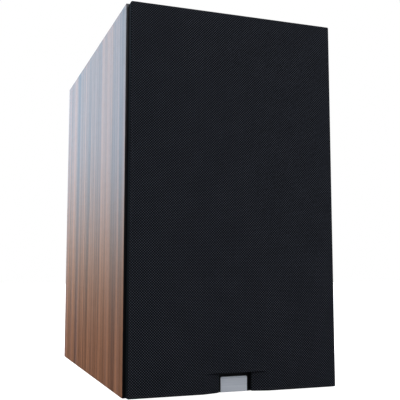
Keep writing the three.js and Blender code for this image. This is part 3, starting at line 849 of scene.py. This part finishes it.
# %% The basket
basket = turned([(78.6, 0), (86, 0), (86, 5), (73.5, 5), (71.2, 7), (59.6, 31), (58, 33), (51, 33),
                 (51, 44), (20, 44), (20, 42), (49, 42), (49, 31), (56.2, 31), (57.6, 29.4), (69.2, 6.4),
                 (70, 5), (70, 1), (78.6, 1)], (0, 0, 0), 120)
WINDOWS = 6
cuts = []
for turn in range(WINDOWS):
    slot = block(38, 17, 34)
    rounded(slot, [e for e in slot.edges if abs(e.verts[0].co.z - e.verts[1].co.z) > 20 * MM], 4.5, 4)
    moved(slot, (0, 19 * MM, 66 * MM))
    angle = math.tau * (turn + 0.5) / WINDOWS
    swung(slot, angle, "Y")
    cuts.append(slot)
for name in (f"woofer_screw_{i}" for i in range(1, 5)):
    spot = facing(name, FRONT) - WOOFER_AT
    cuts.append(turned([(0, -2), (3.4, -2), (3.4, 2.4), (2.3, 2.4), (2.3, 8), (0, 8)], spot, 24))
basket = carved(basket, cuts)
rounded(basket, sharp_edges(basket, angle=48), 0.3, 2)
tag = block(10, 10, 10)
moved(tag, (-61.5 * MM, 29 * MM, 0))
rounded(tag, tag.edges[:], 0.8)
joined(basket, tag)
moved(basket, WOOFER_AT)
made = new_part("woofer_basket", basket, painted_steel)
print("basket:", len(made.data.polygons), "faces")

# %% Magnet and plates
for name, outline, coat in (
        ("woofer_top_plate", [(16.6, 44.3), (42, 44.3), (42, 49.3), (16.6, 49.3)], steel_plate),
        ("woofer_magnet", [(21, 49.6), (47, 49.6), (47, 64.6), (21, 64.6)], ferrite),
        ("woofer_back_plate", [(4, 44.3), (15, 44.3), (15, 64.9), (42, 64.9), (42, 69.9), (6, 69.9),
                               (4, 67.9)], steel_plate)):
    made = new_part(name, turned(outline, WOOFER_AT, 96, edge=0.7), coat)
    print(name, len(made.data.polygons), "faces")

# %% [markdown]
# ## The moving parts of the woofer
# The voice coil, the cone and the dust cap travel together. The rubber surround and the corrugated spider
# are held at their rims and pulled at their middles, but here they are taken off their bodies and stay
# where they stand.

# %% Cone, dust cap and voice coil
def curved(points, steps=5):
    """A smooth outline through points, by Catmull and Rom's rule."""
    p = [Vector(point) for point in points]
    p = [2 * p[0] - p[1], *p, 2 * p[-1] - p[-2]]
    made = []
    for a, b, c, d in zip(p, p[1:], p[2:], p[3:]):
        for step in range(steps):
            t = step / steps
            made.append(0.5 * (2 * b + (c - a) * t + (2 * a - 5 * b + 4 * c - d) * t * t
                               + (3 * b - a - 3 * c + d) * t ** 3))
    return [tuple(v) for v in made] + [tuple(points[-1])]


def shell(front, thickness):
    """A thin wall: an outline of its front, and the same one further back."""
    return front + [(radius, depth + thickness) for radius, depth in reversed(front)]


cone_front = curved([(16.6, 22), (30, 15.2), (45, 7.6), (55.5, 1.9)]) + [(57.2, 1.1), (60.8, 1)]
new_part("woofer_cone", turned(shell(cone_front, 1.0), WOOFER_AT, 128), cone_paper, smooth=60)
cap_out = curved([(0, 12.5), (7, 13.2), (13, 15.3), (17.5, 18.1), (19.5, 19.6)])
cap_in = curved([(18.8, 19.8), (16.9, 18.7), (12.6, 16.1), (6.8, 13.9), (0, 13.2)])
new_part("woofer_dust_cap", turned(cap_out + cap_in, WOOFER_AT, 96, loop=False), cone_paper, smooth=60)

copper, tree, shader = finish("copper_winding", Metallic=1.0, Roughness=0.32)
WIRE = 0.55 * MM
turns = calc(tree, "SINE", times(tree, object_axes(tree)["Y"], math.tau / WIRE))
mottle = speckled(tree, 0.003)
tone = between(tree, mottle["Fine"], 0.35, 0.65)
fill(tree, shader["Base Color"], mixed(tree, tone, srgb(196, 112, 66), srgb(158, 82, 44)))
fill(tree, shader["Normal"], raised(tree, turns, 0.00012))
coil = turned([(15.4, 20), (15.7, 20), (15.7, 40), (16.1, 40.2), (16.1, 52.8), (15.7, 53), (15.4, 53)],
              WOOFER_AT, 96)
coil.normal_update()
for face in coil.faces:
    spot = face.calc_center_median() - WOOFER_AT
    wound = spot.y > 40 * MM and face.normal.y ** 2 < 0.9 and spot.xz.length > 15.7 * MM
    face.material_index = int(wound)
made = new_part("woofer_voice_coil", coil, [coil_former, copper])
print("voice coil:", len(made.data.polygons), "faces")


# %% Surrounds and spider
def follow_by_radius(piece):
    """Bakes a ring-shaped piece's place into its mesh, so that it stays where it stands."""
    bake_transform(piece)


def soft_ring(name, outline, centre, coat, steps=128):
    """A turned soft part, taken off its body and left where it stands."""
    piece = new_part(name, turned(outline, centre, steps), coat, smooth=60)
    piece.parent = None
    follow_by_radius(piece)
    return piece


def half_roll(middle_radius, half_width, crest, thickness, lips, face, steps=20):
    """The outline of a surround: a lip, a half-round roll that stands forward, and a lip."""
    def arc(reach, level):
        return [(middle_radius - reach * math.cos(math.pi * step / steps),
                 level - crest * math.sin(math.pi * step / steps)) for step in range(steps + 1)]

    over, under = arc(half_width, face), arc(half_width - thickness, face + thickness)
    return ([(lips[0], face), *over, (lips[1], face), (lips[1], face + thickness), *reversed(under),
             (lips[0], face + thickness)])


soft_ring("woofer_surround", half_roll(66, 5, 4.5, 0.7, (57, 78.2), 0), WOOFER_AT, surround_rubber)
WAVES, STEPS, HALF_WAVE = 3, 72, 0.65
folds = [(16.6, 30.4), (18.5, 30.1)]
folds += [(20 + 29 * step / STEPS, 30 - HALF_WAVE * (1 - math.cos(math.tau * WAVES * step / STEPS)))
          for step in range(STEPS + 1)]
folds += [(51, 30), (56, 30)]
soft_ring("woofer_spider", shell(folds, 0.7), WOOFER_AT, spider_cloth)
print("the spider has", WAVES, "waves")

# %% [markdown]
# ## Screws
# The drivers and the terminal cup are held by pan-head screws with a cross recess. One function turns the
# head and the shank, and cuts the recess with two tapered blades.

# %% Screws
def screw(name, head, rise, shank, length, toward=-1):
    """A pan-head screw whose head looks along Y, toward -1 or 1, where the frame has it."""
    low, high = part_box(name)
    seat = facing(name, low.y if toward < 0 else high.y)
    form = turned([(0, 0), (head * 0.55, 0.04), (head * 0.85, 0.3), (head * 0.97, 0.75), (head, rise * 0.7),
                   (head, rise), (shank, rise), (shank, length - 3), (0.3, length), (0, length)], (0, 0, 0),
                  24)
    blades = []
    for quarter in (0, 1):
        blade = block(head * 1.05, 2.4, head * 0.22)
        deep = [v for v in blade.verts if v.co.y > 0]
        bmesh.ops.scale(blade, vec=(0.45, 1, 0.6), verts=deep)
        swung(blade, math.pi / 2 * quarter, "Y")
        blades.append(blade)
    form = carved(form, blades)
    if toward > 0:
        swung(form, math.pi, "X")
    moved(form, seat)
    return new_part(name, form, screw_paint)


for i in range(1, 5):
    screw(f"woofer_screw_{i}", 3, 1.9, 1.9, 17)
for i in range(1, 4):
    screw(f"tweeter_screw_{i}", 3.4, 1.9, 1.6, 15)
for i in range(1, 5):
    screw(f"cup_screw_{i}", 3.2, 1.9, 1.6, 16, toward=1)
print("screws:", sum("screw" in piece.name for piece in made_parts))

# %% [markdown]
# ## The tweeter
# The tweeter is a silk dome in the throat of a shallow horn, which is moulded in one piece with its mounting
# ring. Its motor is a smaller copy of the woofer's: a ferrite ring between two steel plates.

# %% The tweeter's parts
throat, mouth = 16.5, 52
HORN_STEPS, HORN_DEPTH, FLARE = 24, 12.5, 1.7
horn = [(mouth - (mouth - throat) * step / HORN_STEPS, HORN_DEPTH * (step / HORN_STEPS) ** FLARE)
        for step in range(HORN_STEPS + 1)]
waveguide = turned([(61.2, 0.4), (60.4, 0), (53.2, 0), *horn, (16.2, 13.1), (16.5, 14.5), (40, 14.5),
                    (46, 9), (51, 4), (62, 4), (62, 1.2)], (0, 0, 0), 128)
cuts = []
for i in range(1, 4):
    spot = facing(f"tweeter_screw_{i}", FRONT) - TWEETER_AT
    cuts.append(turned([(0, -2), (3.8, -2), (3.8, 2.3), (2, 2.3), (2, 8), (0, 8)], spot, 24))
waveguide = carved(waveguide, cuts)
rounded(waveguide, sharp_edges(waveguide, angle=50), 0.25, 2)
tag = block(10, 9.5, 4.4)
moved(tag, (0, 12 * MM, -43.7 * MM))
rounded(tag, tag.edges[:], 0.6)
joined(waveguide, tag)
moved(waveguide, TWEETER_AT)
new_part("tweeter_waveguide", waveguide, grille_plastic, smooth=40)

def quarter(radius, height, start, steps):
    """A quarter of an ellipse from the axis outwards, as an outline."""
    angles = [math.pi / 2 * step / steps for step in range(steps + 1)]
    return [(radius * math.sin(a), start - height * math.cos(a)) for a in angles]


outside, inside = quarter(12.7, 6, 15.6, 16), quarter(12.3, 5.8, 15.8, 16)
dome = turned([*outside, (12.7, 22), (12.3, 22), *reversed(inside)], TWEETER_AT, 96, loop=False)
new_part("tweeter_dome", dome, dome_silk, smooth=50)
soft_ring("tweeter_surround", half_roll(14.6, 1.6, 1, 0.4, (12.99, 20), 14.8, 12), TWEETER_AT, dome_silk,
          96)
for name, outline, coat in (
        ("tweeter_top_plate", [(13.1, 15.6), (33, 15.6), (33, 18.6), (13.1, 18.6)], steel_plate),
        ("tweeter_magnet", [(18, 18.9), (36, 18.9), (36, 28.9), (18, 28.9)], ferrite),
        ("tweeter_back_plate", [(0, 16.4), (11.9, 16.4), (11.9, 29.2), (33, 29.2), (33, 33.2), (0, 33.2)],
         steel_plate)):
    new_part(name, turned(outline, TWEETER_AT, 96, edge=0.4, loop=name != "tweeter_back_plate"), coat)
print("parts made so far:", len(made_parts))

# %% Keepers and magnets that hold the grille
for name in slot_of:
    if name.startswith(("baffle_keeper", "grille_magnet")):
        low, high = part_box(name)
        thick = (high.y - low.y) / MM
        disc = turned([(0, 0), (5, 0), (5, thick), (0, thick)], facing(name, low.y), 32, edge=0.35)
        new_part(name, disc, steel_plate if name.startswith("baffle") else magnet_plating)
print("discs:",
      [piece.name for piece in made_parts if "keeper" in piece.name or "grille_magnet" in piece.name])

# %% [markdown]
# ## The back: panel, port and terminal cup
# The back panel is board with a walnut face. The bass port is one moulded tube whose mouth flares like a
# horn, so that air leaves it quietly: its outline is a quarter of an ellipse, turned. The terminal cup isn't
# round, so it is made of rounded loops, one behind the other: a skin is drawn from each loop to the next,
# and closed at both ends.

# %% Back panel and brace
black_plastic = moulded("black_plastic", (25, 26, 28), (16, 17, 19), 0.0008, 0.42, 0.00002)
panel = merged_copy("back_panel", 0.3)
panel.normal_update()
for face in panel.faces:
    face.material_index = 0 if face.normal.y > 0.3 else 1
new_part("back_panel", panel, [walnut_back, raw_board])
new_part("window_brace", merged_copy("window_brace", 0.8), raw_board)
print("board parts:", [piece.name for piece in made_parts[-2:]])

# %% Bass port
port_low, port_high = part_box("port_tube")
PORT_AT = facing("port_tube", BACK)


def flared(radius, depth, across, along, steps):
    """A quarter of an ellipse that widens a tube, as an outline."""
    angles = [math.pi / 2 * step / steps for step in range(steps + 1)]
    return [(radius + across * math.cos(a), depth + along * math.sin(a)) for a in angles]


flare, inner_mouth = flared(41, -15, -16, 18, 20), flared(30, -119, -5, -11, 8)
tube = turned([(45.4, 3), (46, 2.4), (46, 0.3), (39.5, 0.3), (39.5, -8), (30.5, -17), (27.5, -24),
               (27.5, -120), (32.5, -129.6), (32, -130), *reversed(inner_mouth), *flare], PORT_AT, 128)
rounded(tube, sharp_edges(tube, angle=50), 0.25)
new_part("port_tube", tube, black_plastic, smooth=40)
print("port:", round((port_high.y - port_low.y) / MM, 1), "mm long")


# %% Loops and skins
def rounded_loop(width, height, corner, depth, steps=8):
    """A closed row of points round a rectangle with round corners, in millimetres."""
    points = []
    for turn, (x, z) in enumerate(((1, 1), (-1, 1), (-1, -1), (1, -1))):
        for step in range(steps + 1):
            angle = math.pi / 2 * (turn + step / steps)
            points.append((x * (width / 2 - corner) + corner * math.cos(angle), depth,
                           z * (height / 2 - corner) + corner * math.sin(angle)))
    return points


def skinned(loops, centre, caps):
    """Draws a skin from each loop to the next, with its ends closed or its last loop meeting its first."""
    form = bmesh.new()
    row = [form.verts.new([value * MM for value in point]) for point in loops[0]]
    ring = [form.edges.new(pair) for pair in zip(row, row[1:] + row[:1])]
    if caps:
        bmesh.ops.contextual_create(form, geom=ring)
    for here, there in zip(loops, loops[1:] if caps else loops[1:] + loops[:1]):
        drawn = bmesh.ops.extrude_edge_only(form, edges=ring)["geom"]
        row = only(drawn, bmesh.types.BMVert)
        ring = [e for e in only(drawn, bmesh.types.BMEdge) if all(v in row for v in e.verts)]
        spots = [Vector(point) * MM for point in here]
        for vert in row:
            nearest = min(range(len(spots)), key=lambda i: (spots[i] - vert.co).length_squared)
            vert.co = Vector(there[nearest]) * MM
    if caps:
        bmesh.ops.contextual_create(form, geom=ring)
    bmesh.ops.remove_doubles(form, verts=form.verts, dist=1e-6)
    bmesh.ops.recalc_face_normals(form, faces=form.faces)
    moved(form, centre)
    return form


# %% Terminal cup
CUP_AT = facing("terminal_cup", BACK)
CUP_ROWS = [(76, 54, 3, -20.7), (77.6, 55.6, 3.6, -19.6), (79, 57, 4, 1.8), (81, 59, 5, 2.8),
            (102.8, 80.8, 7.4, 2.8), (104, 82, 8, 1.7), (104, 82, 8, 0.3), (84, 62, 6, 0.3),
            (84, 62, 6, -23.2)]
cup = skinned([rounded_loop(*row) for row in CUP_ROWS], CUP_AT, caps=True)
cuts = [turned([(0, -26), (3.3, -26), (3.3, -18), (0, -18)], facing(f"{colour}_post", BACK), 24)
        for colour in ("red", "black")]
for i in range(1, 5):
    cuts.append(turned([(0, -1), (1.9, -1), (1.9, 4), (0, 4)], facing(f"cup_screw_{i}", BACK), 16))
cup = carved(cup, cuts)
for x, z in ((-38, -27), (38, -27), (-38, 27), (38, 27)):
    spot = CUP_AT + Vector((x, 0, z)) * MM
    joined(cup, turned([(0, -29.1), (2.5, -29.1), (2.5, -23.1), (0, -23.1)], spot, 16, loop=False))
bmesh.ops.remove_doubles(cup, verts=cup.verts, dist=1e-6)
made = new_part("terminal_cup", cup, black_plastic, smooth=32)
print("cup:", len(made.data.polygons), "faces")

# %% [markdown]
# ## Binding posts
# Each post is a gilt stud through the cup's floor, held by a nut behind. A fluted knob runs on its thread
# and drives a clamp washer: as the knob unscrews, both move out together, a millimetre for each turn.

# %% Posts, washers and knobs
gold_plate = moulded("gold_plate", (232, 192, 104), (206, 160, 74), 0.0009, 0.24, 0.000006, Metallic=1.0)
red_plastic = moulded("red_plastic", (178, 22, 26), (140, 12, 16), 0.0008, 0.3, 0.00001, Coat_Weight=0.2)
FLUTES = 8


def fluted_loop(radius, depth, waves=0.0, steps=96):
    """A circle, or with waves a circle with shallow flutes, in millimetres."""
    points = []
    for step in range(steps):
        angle = math.tau * step / steps
        reach = radius - waves * (1 - math.cos(FLUTES * angle)) / 2
        points.append((reach * math.cos(angle), depth, reach * math.sin(angle)))
    return points


def threaded(radius, start, end, pitch=1.0, cut=0.35):
    """The zigzag outline of a screw thread along a stud."""
    turns = int(abs(end - start) / pitch * 2)
    return [(radius - cut * (step % 2), start + (end - start) * step / turns) for step in range(turns + 1)]


KNOB_ROWS = [(3.25, -15.6), (6.0, -15.6, 0.2), (6.4, -15.2, 0.5), (6.5, -14.6, 0.7), (6.5, 0.7, 0.7),
             (6.35, 1.4, 0.5), (5.9, 1.8, 0.2), (5.2, 1.9), (3.8, 1.9), (3.4, 1.7), (3.25, 1.2)]
for colour, plastic in (("red", red_plastic), ("black", black_plastic)):
    centre = facing(f"{colour}_post", BACK)
    stud = turned([(0, -33), *threaded(2.9, -32.8, -27.4), (2.9, -20.4), (5.8, -20.4), (6, -20.2),
                   (6, -17.6), (5.8, -17.4), *threaded(2.9, -17.2, -5.6), (2.6, -5), (2.3, -5),
                   (2.1, -5.4), (2.1, -15), (0, -16)], centre, 32, loop=False)
    joined(stud, turned([(2.9, -27.2), (5, -27.2), (5.5, -26.7), (5.5, -24), (5, -23.5), (2.9, -23.5)],
                        centre, 6))
    new_part(f"{colour}_post", stud, gold_plate, smooth=30)
    washer = turned([(3.3, -17.1), (6.5, -17.1), (6.5, -15.9), (3.3, -15.9)], centre, 48, 0.3)
    new_part(f"{colour}_washer", washer, gold_plate)
    made = new_part(f"{colour}_knob", skinned([fluted_loop(*row) for row in KNOB_ROWS], centre, caps=False),
                    plastic)
    print(colour, "knob:", len(made.data.polygons), "faces")

# %% [markdown]
# ## The crossover
# The crossover sends low notes to the woofer and high ones to the tweeter. It stands on the cup's pillars: a
# printed board with two air-core coils and two film capacitors. The coils are outlines with a ridge for each
# turn of wire, and the capacitors are turned cans whose shrunk sleeves pinch in near their ends.

# %% Board
circuit_board, tree, shader = finish("circuit_board", Roughness=0.4)
patches = node(tree, "TexVoronoi", {"distance": "CHEBYCHEV"}, Vector=object_place(tree), Scale=110.0)
tracks = between(tree, patches.outputs["Distance"], 0.5, 0.45)
mottle = speckled(tree, 0.002)
mask_green = mixed(tree, mottle["Broad"], srgb(38, 92, 56), srgb(26, 70, 42))
fill(tree, shader["Base Color"], mixed(tree, tracks, mask_green, srgb(52, 118, 70)))
fill(tree, shader["Normal"], raised(tree, tracks, 0.00005))
low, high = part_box("crossover_board")
board = extruded(box_outline(low, high), low.y, high.y)
rounded(board, sharp_edges(board, lambda e: depth_span(e) > 1 * MM), 2.5, 5)
board = carved(board, [turned([(0, -1), (3.3, -1), (3.3, 3), (0, 3)], facing(f"{colour}_post", low.y), 24)
                       for colour in ("red", "black")])
made = new_part("crossover_board", board, circuit_board)
print("board:", [round(side / MM, 1) for side in made.dimensions], "mm")

# %% Coils and capacitors
for name, bore, reach in (("woofer_inductor", 8, 17), ("tweeter_inductor", 6, 13)):
    low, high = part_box(name)
    length = (high.y - low.y) / MM
    count = int((length - 1) / 1.2)
    ridges = [(reach - 0.28 * (1 - math.cos(math.tau * step / 6)), 0.5 + (length - 1) * step / (6 * count))
              for step in range(6 * count + 1)]
    coil = turned([(bore, 0), (reach - 0.9, 0), *ridges, (reach - 0.9, length), (bore, length)],
                  facing(name, low.y), 64)
    new_part(name, coil, copper, smooth=60)
capacitor_sleeve = moulded("capacitor_sleeve", (66, 104, 168), (44, 78, 136), 0.0012, 0.34, 0.00001)
for name in ("tweeter_capacitor", "woofer_capacitor"):
    low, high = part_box(name)
    half, radius = (high.x - low.x) / 2 / MM, (high.z - low.z) / 2 / MM
    shrunk = [(0, 0.5), (0.72, 0.5), (0.8, 0), (0.9, 0.1), (0.985, 0.8), (1, 1.8), (1, 3), (0.95, 3.8),
              (1, 4.6)]
    end = [(radius * share, d) for share, d in shrunk]
    can = turned([(r, d - half) for r, d in end] + [(r, half - d) for r, d in reversed(end)], (0, 0, 0), 48,
                 loop=False)
    swung(can, math.pi / 2, "Z")
    moved(can, (low + high) / 2)
    new_part(name, can, capacitor_sleeve, smooth=40)
print("crossover parts:", [piece.name for piece in made_parts[-5:]])

# %% [markdown]
# ## Leads and wadding
# Each driver's lead is a twisted pair that runs from the board to the driver's tag along the route that the
# frame holds. Two strands are wound round that route as curves with a round section, and then made a mesh.
# Polyester wadding lies on the cabinet's floor and calms the air behind the woofer.


# %% Leads
def along_route(points, spacing):
    """Points along a centripetal Catmull-Rom curve through the given ones, evenly spaced."""
    p = [Vector(point) for point in points]
    p = [2 * p[0] - p[1], *p, 2 * p[-1] - p[-2]]
    dense = []
    for a, b, c, d in zip(p, p[1:], p[2:], p[3:]):
        t1 = (b - a).length ** 0.5
        t2 = t1 + (c - b).length ** 0.5
        t3 = t2 + (d - c).length ** 0.5
        for step in range(40):
            t = t1 + (t2 - t1) * step / 40
            ab, bc, cd = a.lerp(b, t / t1), b.lerp(c, (t - t1) / (t2 - t1)), c.lerp(d, (t - t2) / (t3 - t2))
            abc, bcd = ab.lerp(bc, t / t2), bc.lerp(cd, (t - t1) / (t3 - t1))
            dense.append(abc.lerp(bcd, (t - t1) / (t2 - t1)))
    dense.append(p[-2])
    even, left = [dense[0]], 0.0
    for a, b in zip(dense, dense[1:]):
        left += (b - a).length
        if left >= spacing:
            even.append(b)
            left = 0.0
    even[-1] = dense[-1]
    return even


def twisted(route, offset, pitch, start):
    """One strand that winds round a route."""
    strand, side, run = [], Vector((1, 0, 0)), 0.0
    for i, place in enumerate(route):
        ahead = (route[min(i + 1, len(route) - 1)] - route[max(i - 1, 0)]).normalized()
        side = (side - ahead * side.dot(ahead)).normalized()
        run += (place - route[max(i - 1, 0)]).length
        angle = start + math.tau * run / pitch
        strand.append(place + offset * (side * math.cos(angle) + ahead.cross(side) * math.sin(angle)))
    return strand


lead_red = moulded("lead_sleeve_red", (188, 84, 48), (158, 62, 34), 0.0012, 0.45, 0.00001)
lead_black = moulded("lead_sleeve_black", (34, 34, 37), (20, 20, 22), 0.0012, 0.45, 0.00001)
BOARD_FACE, STRAND, TWIST, SPACING = 131.7, 0.8 * MM, 16 * MM, 2.0 * MM
ROUTES = {
    "woofer_lead": [(-46, BOARD_FACE, 112), (-47, 118, 113), (-62, 95, 116), (-74, 60, 116), (-76, 0, 112),
                    (-74, -60, 110), (-66, -105, 112), (-61, -120, 112), (-61, -128.7, 112)],
    "tweeter_lead": [(4, BOARD_FACE, 125), (4, 120, 126), (14, 104, 145), (28, 80, 180), (32, 55, 210),
                     (28, 20, 226), (12, -40, 227), (2, -105, 225), (0, -130, 224.3), (0, -145.7, 224.3)]}
for name, points in ROUTES.items():
    route = along_route([Vector(point) * MM for point in points], SPACING)
    pair = bmesh.new()
    for strand, start in enumerate((0, math.pi)):
        cable = bpy.data.curves.new("strand", "CURVE")
        cable.dimensions, cable.bevel_depth, cable.bevel_resolution = "3D", STRAND, 2
        cable.use_fill_caps = True
        line = cable.splines.new("POLY")
        winding = twisted(route, STRAND + 0.02 * MM, TWIST, start)
        line.points.add(len(winding) - 1)
        for point, place in zip(line.points, winding):
            point.co = (*place, 1)
        sleeve = bpy.data.objects.new("strand", cable)
        scene.collection.objects.link(sleeve)
        before = len(pair.faces)
        graph = bpy.context.evaluated_depsgraph_get()
        solid = bpy.data.meshes.new_from_object(sleeve.evaluated_get(graph))
        pair.from_mesh(solid)
        pair.faces.ensure_lookup_table()
        for face in pair.faces[before:]:
            face.material_index = strand
        bpy.data.objects.remove(sleeve)
        bpy.data.curves.remove(cable)
        bpy.data.meshes.remove(solid)
    bmesh.ops.remove_doubles(pair, verts=pair.verts, dist=1e-7)
    made = new_part(name, pair, [lead_red, lead_black])
    print(name, len(made.data.polygons), "faces along", len(route), "steps")

# %% Wadding
polyester, tree, shader = finish("polyester_wadding", Roughness=0.95, Sheen_Weight=0.3)
fluff = speckled(tree, 0.0025)
wool = plus(tree, times(tree, fluff["Fine"], 0.5), times(tree, fluff["Broad"], 0.5))
tone = between(tree, wool, 0.3, 0.7)
fill(tree, shader["Base Color"], mixed(tree, tone, srgb(206, 206, 200), srgb(240, 240, 236)))
fill(tree, shader["Normal"], raised(tree, wool, 0.0012))
low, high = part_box("damping_wadding")
pad = bmesh.new()
bmesh.ops.create_cube(pad, size=1)
bmesh.ops.subdivide_edges(pad, edges=pad.edges[:], cuts=23, use_grid_fill=True)
INSET, SWELL = 2 * MM, 2.2 * MM
size = high - low - Vector((INSET, INSET, INSET))
bmesh.ops.scale(pad, vec=size, verts=pad.verts)
moved(pad, (low + high) / 2)
for _ in range(4):
    bmesh.ops.smooth_vert(pad, verts=pad.verts, factor=0.6, use_axis_x=True, use_axis_y=True,
                          use_axis_z=True)
pad.normal_update()
draw = np.random.default_rng(4)
phases = draw.uniform(0, math.tau, (6, 3))
waves = draw.uniform(60, 190, (6, 3))
for vert in pad.verts:
    swell = sum(math.sin(w @ np.array(vert.co) + p[0]) * math.cos(vert.co.x * w[1] + p[1])
                for w, p in zip(waves, phases))
    vert.co += vert.normal * (swell / 6 - 0.6) * SWELL
for vert in pad.verts:
    vert.co = [min(max(value, a), b) for value, a, b in zip(vert.co, low, high)]
wadding = new_part("damping_wadding", pad, polyester, smooth=180)
print("wadding:", [round(side / MM, 1) for side in wadding.dimensions], "mm")
left_over = sorted(name for name, o in frame["nodes"].items() if not o.hide_render)
print("parts of the frame still shown:", left_over)
